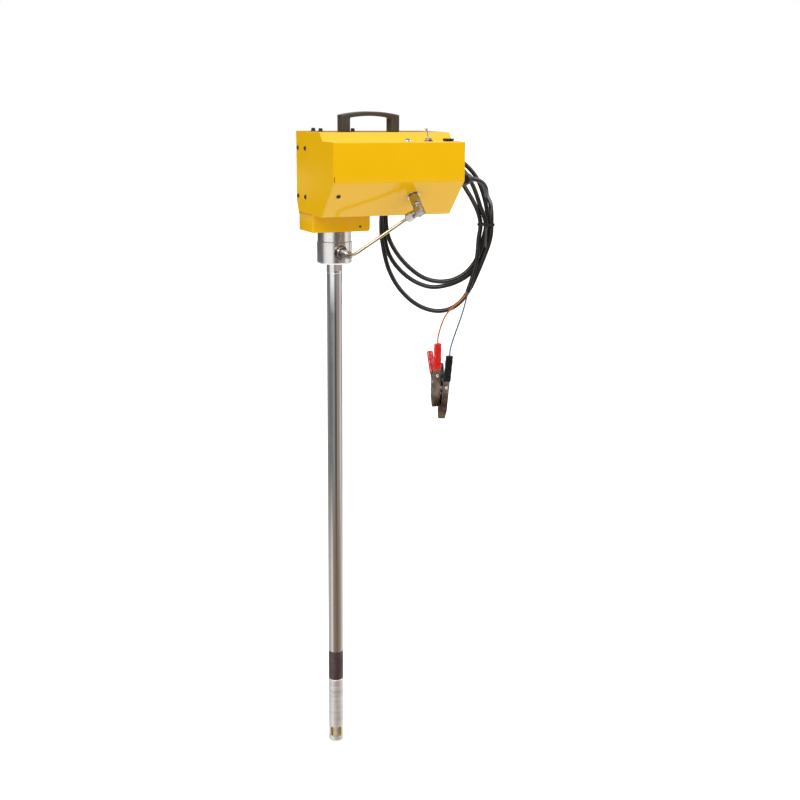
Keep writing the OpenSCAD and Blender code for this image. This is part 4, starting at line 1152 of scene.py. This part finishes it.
F = frame_of((0, 0, ZPORT), (0, -1, 0))
hx19 = hexr(19)
barrel = [(6.9, 41.2), (7.2, 41.6), (7.2, 53.9), (6.9, 54.5), (5.1, 54.6)]
screw = []
z = 55.0
while z < 60:
    screw += [(5.0, z), (4.65, z + 0.5)]
    z += 1.0
put("port_adapter", *joined(
    rounded_ring(6.5, 12.5, 29.02, 32, 0.35, F, 84),
    polar([(2.5, 17), (6.1, 17), (6.5, 17.6), (6.5, 32.02), (9.0, 32.02), (9.2, 32.2), (hx19, lambda a: 32.2 + (hx19(a) - 9.2) * 0.55),
           (hx19, lambda a: 40.8 - (hx19(a) - 9.1) * 0.6), (9.1, 41), (7.4, 41.1)] + barrel + screw + [(4.6, 60.4), (3.2, 60.5), (2.5, 60)], 96, F, loop=True)),
    "fitting", HOUSE, "port_adapter", "dark_steel", smooth=28)

# ------------------------------------------------------------------ pump block
put("block_upper", *polar([(7.0, 40), (7.4, 39.2), (29.6, 39.2), (30, 39.6), (30, 85.6), (29.6, 86), (9.0, 86), (9.0, 68), (7.0, 67.6)], 160, None, loop=True),
    "block", HOUSE, "block_upper", "block_steel", smooth=28)
put("block_gasket", *rounded_ring(7.0, 30.5, 38.6, 39.2, 0.15, None, 160), "gasket", HOUSE, "block_gasket", "brass", smooth=28)
low = put("block_lower", *polar([(7, 16), (7, 38.4), (7.2, 38.6), (30.7, 38.6), (31, 38.3), (31, 2.7), (30.9, 2.4), (28.6, 0.1), (28.4, 0.0), (14.5, 0.0), (14.5, 1.5), (10, 1.5), (10, 16)], 160, None, loop=True),
          "block", HOUSE, "block_lower", "block_steel", smooth=28)
FRONT_P, REAR_P = F, frame_of((0, 0, ZPORT), (0, 1, 0))
for m in (FRONT_P, REAR_P):
    cut(low, *polar([(0, 29), (13.5, 29), (13.5, 36), (0, 36)], 84, m))
cut(low, *polar([(0, 12), (6.6, 12), (6.6, 30), (0, 30)], 64, FRONT_P))
tap = [(0, 14), (5.75, 14)]
z = 16.2
while z < 28.0:
    tap += [(5.78, z), (6.57, z + 0.62)]
    z += 1.337
cut(low, *polar(tap + [(6.3, 28.4), (6.57, 28.9), (6.57, 30), (0, 30)], 64, REAR_P))

neck = put("tube_neck", *polar([(7, 15.5), (10, 15.5), (10, 1.5), (14.28, 1.5), (14.3, 1.2), (14.3, -16.9), (13.9, -17.5), (12.05, -17.5), (12, -30), (7, -30)], 128, None, loop=True),
           "block", HOUSE, "tube_neck", "block_steel", smooth=28)
FL = rz(14)
for s in (-1, 1):
    v, f = boxes((-20, 12.5 if s > 0 else -40, -13), (20, 40 if s > 0 else -12.5, -2))
    cut(neck, [tuple(FL @ Vector(p)) for p in v], f)

# ------------------------------------------------------------------ suction tube, cylinder and foot
zs = [-17.6] + [-17.6 - 729.2 * k / 24 for k in range(1, 24)] + [-746.8]
tube = polar([(12, -17.5), (13.7, -17.5), (14, -17.8)] + [(14, z) for z in zs[1:-1]] + [(14, -746.7), (13.8, -747), (12, -747)], 128, None, loop=True)
put("suction_tube", *tube, "tube", HOUSE, "suction_tube", "chromed", smooth=28)
put("pump_cylinder", *polar([(9, -817), (12, -817), (12, -805.0), (13.6, -805), (14, -804.6), (14, -776), (14, -747.4), (13.6, -747), (12, -747), (12, -727), (9, -727)], 128, None, loop=True),
    "band", HOUSE, "pump_cylinder", "dark_steel", smooth=28)
foot = put("foot_tube", *polar([(8, ZF + 3), (8, ZF + 0.3), (8.3, ZF), (10.8, ZF), (11.2, ZF + 0.2), (13.7, ZF + 2.7), (14, ZF + 3.2), (14, ZF + 40), (14, ZF + 80), (14, -805.5), (13.6, -805.02), (12, -805.02), (12, ZF + 3)], 192, None, loop=True),
           "foot", HOUSE, "foot_tube", "zinc_steel", smooth=28)
for a in range(0, 360, 60):
    m = rz(a - 82)
    z0, z1, R = ZF + 13.75, ZF + 27.25, 3.75
    P = [(R * cos(rad(t)), z0 - R * sin(rad(t))) for t in range(0, 181, 15)] + [(-R * cos(rad(t)), z1 + R * sin(rad(t))) for t in range(0, 181, 15)]
    P = [(y, z) for y, z in reversed(P)]
    cut(foot, *prism(P, 8, 20, m @ Matrix(((0, 0, 1, 0), (1, 0, 0, 0), (0, 1, 0, 0), (0, 0, 0, 1)))))
bevel(foot, 0.25, 2, 45)

# ------------------------------------------------------------------ nodes that stay as the CAD has them
dress("valve_seat", "brass", 0.3)
dress("piston", "brass", 0.3)
dress("shovel_piston", "brass", 0.5)
dress("valve_ring", "dark_steel", 0.3)
dress("pump_rod", "zinc", 0.4)
dress("rod_seal", "seal", 0.2)
dress("gear_case", "alu", 0.8, 3)
dress("frame_bolts", "screw", 0.3)
dress("gear_motor", "motor", 0.6, 3)
dress("pinion", "dark_steel", 0.15)
dress("crankshaft", "dark_steel", 0.2)
dress("crank_bearing", "zinc", 0.4)
dress("rod_yoke", "zinc", 0.5)
dress("pressure_switch", "motor", 0.5)
dress("relay_board", "board", 0.15)
dress("handle_screws", "zinc", 0.3)

# ------------------------------------------------------------------ studio: world, floor, light
world = bpy.data.worlds.new("studio")
scene.world = world
world.use_nodes = True
wt = world.node_tree
wt.nodes.clear()


def wn(kind, **kw):
    n = wt.nodes.new(kind)
    for k, v in kw.items():
        setattr(n, k, v)
    return n


def wmath(op, a, b=0.0, c=0.0, clamp=False):
    n = wn("ShaderNodeMath", operation=op, use_clamp=clamp)
    for i, v in enumerate((a, b, c)):
        if isinstance(v, (int, float)):
            n.inputs[i].default_value = v
        else:
            wt.links.new(v, n.inputs[i])
    return n.outputs[0]


def wmix(f, a, b):
    n = wn("ShaderNodeMix", data_type="RGBA")
    for sock, v in ((n.inputs[0], f), (n.inputs[6], a), (n.inputs[7], b)):
        if isinstance(v, tuple):
            sock.default_value = (*v, 1)
        elif isinstance(v, (int, float)):
            sock.default_value = v
        else:
            wt.links.new(v, sock)
    return n.outputs[2]


def wmap(v, a, b):
    n = wn("ShaderNodeMapRange", interpolation_type="SMOOTHSTEP")
    wt.links.new(v, n.inputs[0])
    n.inputs[1].default_value = a
    n.inputs[2].default_value = b
    return n.outputs[0]


sep = wn("ShaderNodeSeparateXYZ")
wt.links.new(wn("ShaderNodeTexCoord").outputs["Generated"], sep.inputs[0])
dx, dy, dz = sep.outputs
az = wmath("MULTIPLY", wmath("ARCTAN2", dy, dx), 180 / pi)
turn = wmath("MODULO", wmath("ADD", az, 114.5 + 180 + 720), 360)  # 180 looks from the object back at the camera


def wramp(stops):
    n = wn("ShaderNodeValToRGB")
    n.color_ramp.interpolation = "LINEAR"
    e = n.color_ramp.elements
    while len(e) < len(stops):
        e.new(0.5)
    for q, (p, c) in zip(e, stops):
        q.position = p / 360
        q.color = (c, c, c, 1) if isinstance(c, (int, float)) else (*c, 1)
    wt.links.new(share, n.inputs[0])
    return n.outputs[0]


share = wmath("DIVIDE", turn, 360.0)
# glossy rays see a studio in four heights: a softbox front left, a dark gap, a brown wall, a white wall
high = wramp([(0, 0.12), (22, 0.06), (38, 0.02), (75, 0.02), (103, 0.22), (112, 1.0), (168, 1.0), (180, 0.3), (188, 0.06), (206, 0.05), (214, (0.05, 0.035, 0.03)), (252, (0.08, 0.055, 0.045)),
              (268, 1.0), (300, 0.8), (335, 0.6), (360, 0.12)])
level = wramp([(0, 0.24), (60, 0.22), (100, 0.20), (112, 0.9), (134, 1.75), (168, 1.75), (181, 0.62), (190, 0.34), (206, 0.32), (216, (0.46, 0.39, 0.36)), (255, (0.52, 0.45, 0.41)),
               (268, 1.0), (280, 1.0), (300, 0.6), (335, 0.9), (360, 0.30)])
below = wramp([(0, 0.45), (60, 0.35), (104, 0.20), (130, 0.22), (150, 0.28), (170, 0.40), (182, 0.20), (195, 0.08), (204, 0.10), (214, (0.45, 0.35, 0.31)), (235, (0.45, 0.35, 0.31)),
               (256, (0.50, 0.42, 0.36)), (268, 1.0), (292, 0.5), (330, 0.8), (360, 0.45)])
low = wramp([(0, 0.6), (104, 0.6), (114, (1.0, 0.95, 0.86)), (132, (1.0, 0.94, 0.84)), (147, (0.45, 0.33, 0.25)), (205, (0.20, 0.15, 0.12)), (262, (0.50, 0.38, 0.25)), (284, 0.65), (310, 1.0), (345, 0.8), (360, 0.6)])
room = wmix(wmap(dz, -0.170, -0.130), below, level)
room = wmix(wmap(dz, -0.375, -0.275), low, room)
room = wmix(wmap(dz, -0.87, -0.72), (1.3, 1.3, 1.28), room)
room = wmix(wmap(dz, -0.119, -0.106), room, high)
patch = wmath("MULTIPLY", wmath("MULTIPLY", wmap(turn, 30, 38), wmath("SUBTRACT", 1.0, wmap(turn, 43.9, 45.1))),
              wmath("MULTIPLY", wmap(dz, -0.078, -0.064), wmath("SUBTRACT", 1.0, wmap(dz, -0.062, -0.048))))
room = wmix(patch, room, (0.75, 0.75, 0.55))
gloss = wmix(wmap(dz, 0.10, 0.45), room, (1.15, 1.15, 1.15))


def window(t0, t1, z0, z1):
    """1 inside a soft-edged lamp panel of the studio, else 0."""
    across = wmath("MULTIPLY", wmap(turn, t0, t0 + 8), wmath("SUBTRACT", 1.0, wmap(turn, t1 - 8, t1)))
    return wmath("MULTIPLY", across, wmath("MULTIPLY", wmap(dz, z0, z0 + 0.08), wmath("SUBTRACT", 1.0, wmap(dz, z1 - 0.08, z1))))


gloss = wmix(window(140, 200, 0.28, 0.76), gloss, (4.5, 4.5, 4.6))
gloss = wmix(window(256, 304, 0.28, 0.76), gloss, (3.4, 3.4, 3.3))
diffuse = wmix(wmap(dz, -0.4, 0.9), (0.60, 0.60, 0.60), (0.86, 0.86, 0.86))
diffuse = wmix(wmap(dz, 0.45, 0.95), diffuse, (2.1, 2.1, 2.1))
under = wmix(wmap(dz, -0.9, -0.25), (1.22, 1.22, 1.22), (0.86, 0.86, 0.86))
diffuse = wmix(wmap(dz, -0.06, 0.0), under, diffuse)
lp = wn("ShaderNodeLightPath")
seen = wmix(lp.outputs["Is Glossy Ray"], diffuse, gloss)
seen = wmix(lp.outputs["Is Camera Ray"], seen, (1.0, 1.0, 1.0))
bg = wn("ShaderNodeBackground")
wt.links.new(seen, bg.inputs[0])
wt.links.new(bg.outputs[0], wn("ShaderNodeOutputWorld").inputs[0])


def floor_piece(name, x0, x1, y0, y1, z, mat, k=1):
    bm = bmesh.new()
    P = [(x0, y0), (x1, y0), (x1, y1), (x0, y1)]
    bm.faces.new([bm.verts.new((x, y, z)) for x, y in P])
    me = bpy.data.meshes.new(name)
    bm.to_mesh(me)
    bm.free()
    o = bpy.data.objects.new(name, me)
    scene.collection.objects.link(o)
    me.materials.append(mat)
    return o


def floor_mat(name, v, glow):
    k = Mat(name)
    k.set(Roughness=0.9, Specular_IOR_Level=0.0, Emission_Strength=glow)
    k.b.inputs["Emission Color"].default_value = (1, 1, 1, 1)
    k.colour(k.ramp(k.noise(3, 2), [(0.3, v - 0.01), (0.7, v)]))
    return k.m


ground = floor_piece("floor", -30, 30, -30, 40, -0.9366, floor_mat("floor", 0.93, 0.18))
ground.visible_glossy = False
ground.visible_diffuse = False


def area(name, loc, target, size, power):
    d = bpy.data.lights.new(name, "AREA")
    d.shape = "SQUARE"
    d.size = size
    d.energy = power
    o = bpy.data.objects.new(name, d)
    scene.collection.objects.link(o)
    o.location = loc
    o.rotation_euler = (Vector(target) - Vector(loc)).to_track_quat("-Z", "Y").to_euler()
    return o


area("key", (-1.9, -1.6, 1.9), (0.05, 0, 0), 1.2, 16)
area("fill", (1.6, -1.8, 1.2), (0.05, 0, 0), 1.2, 6)

finish_mesh(neck.data, 20)
for o in BUILT:  # keeps the shading of large faces flat beside their small chamfers
    w = o.modifiers.new("normals", "WEIGHTED_NORMAL")
    w.mode = "FACE_AREA"
    w.keep_sharp = True

bpy.context.view_layer.update()
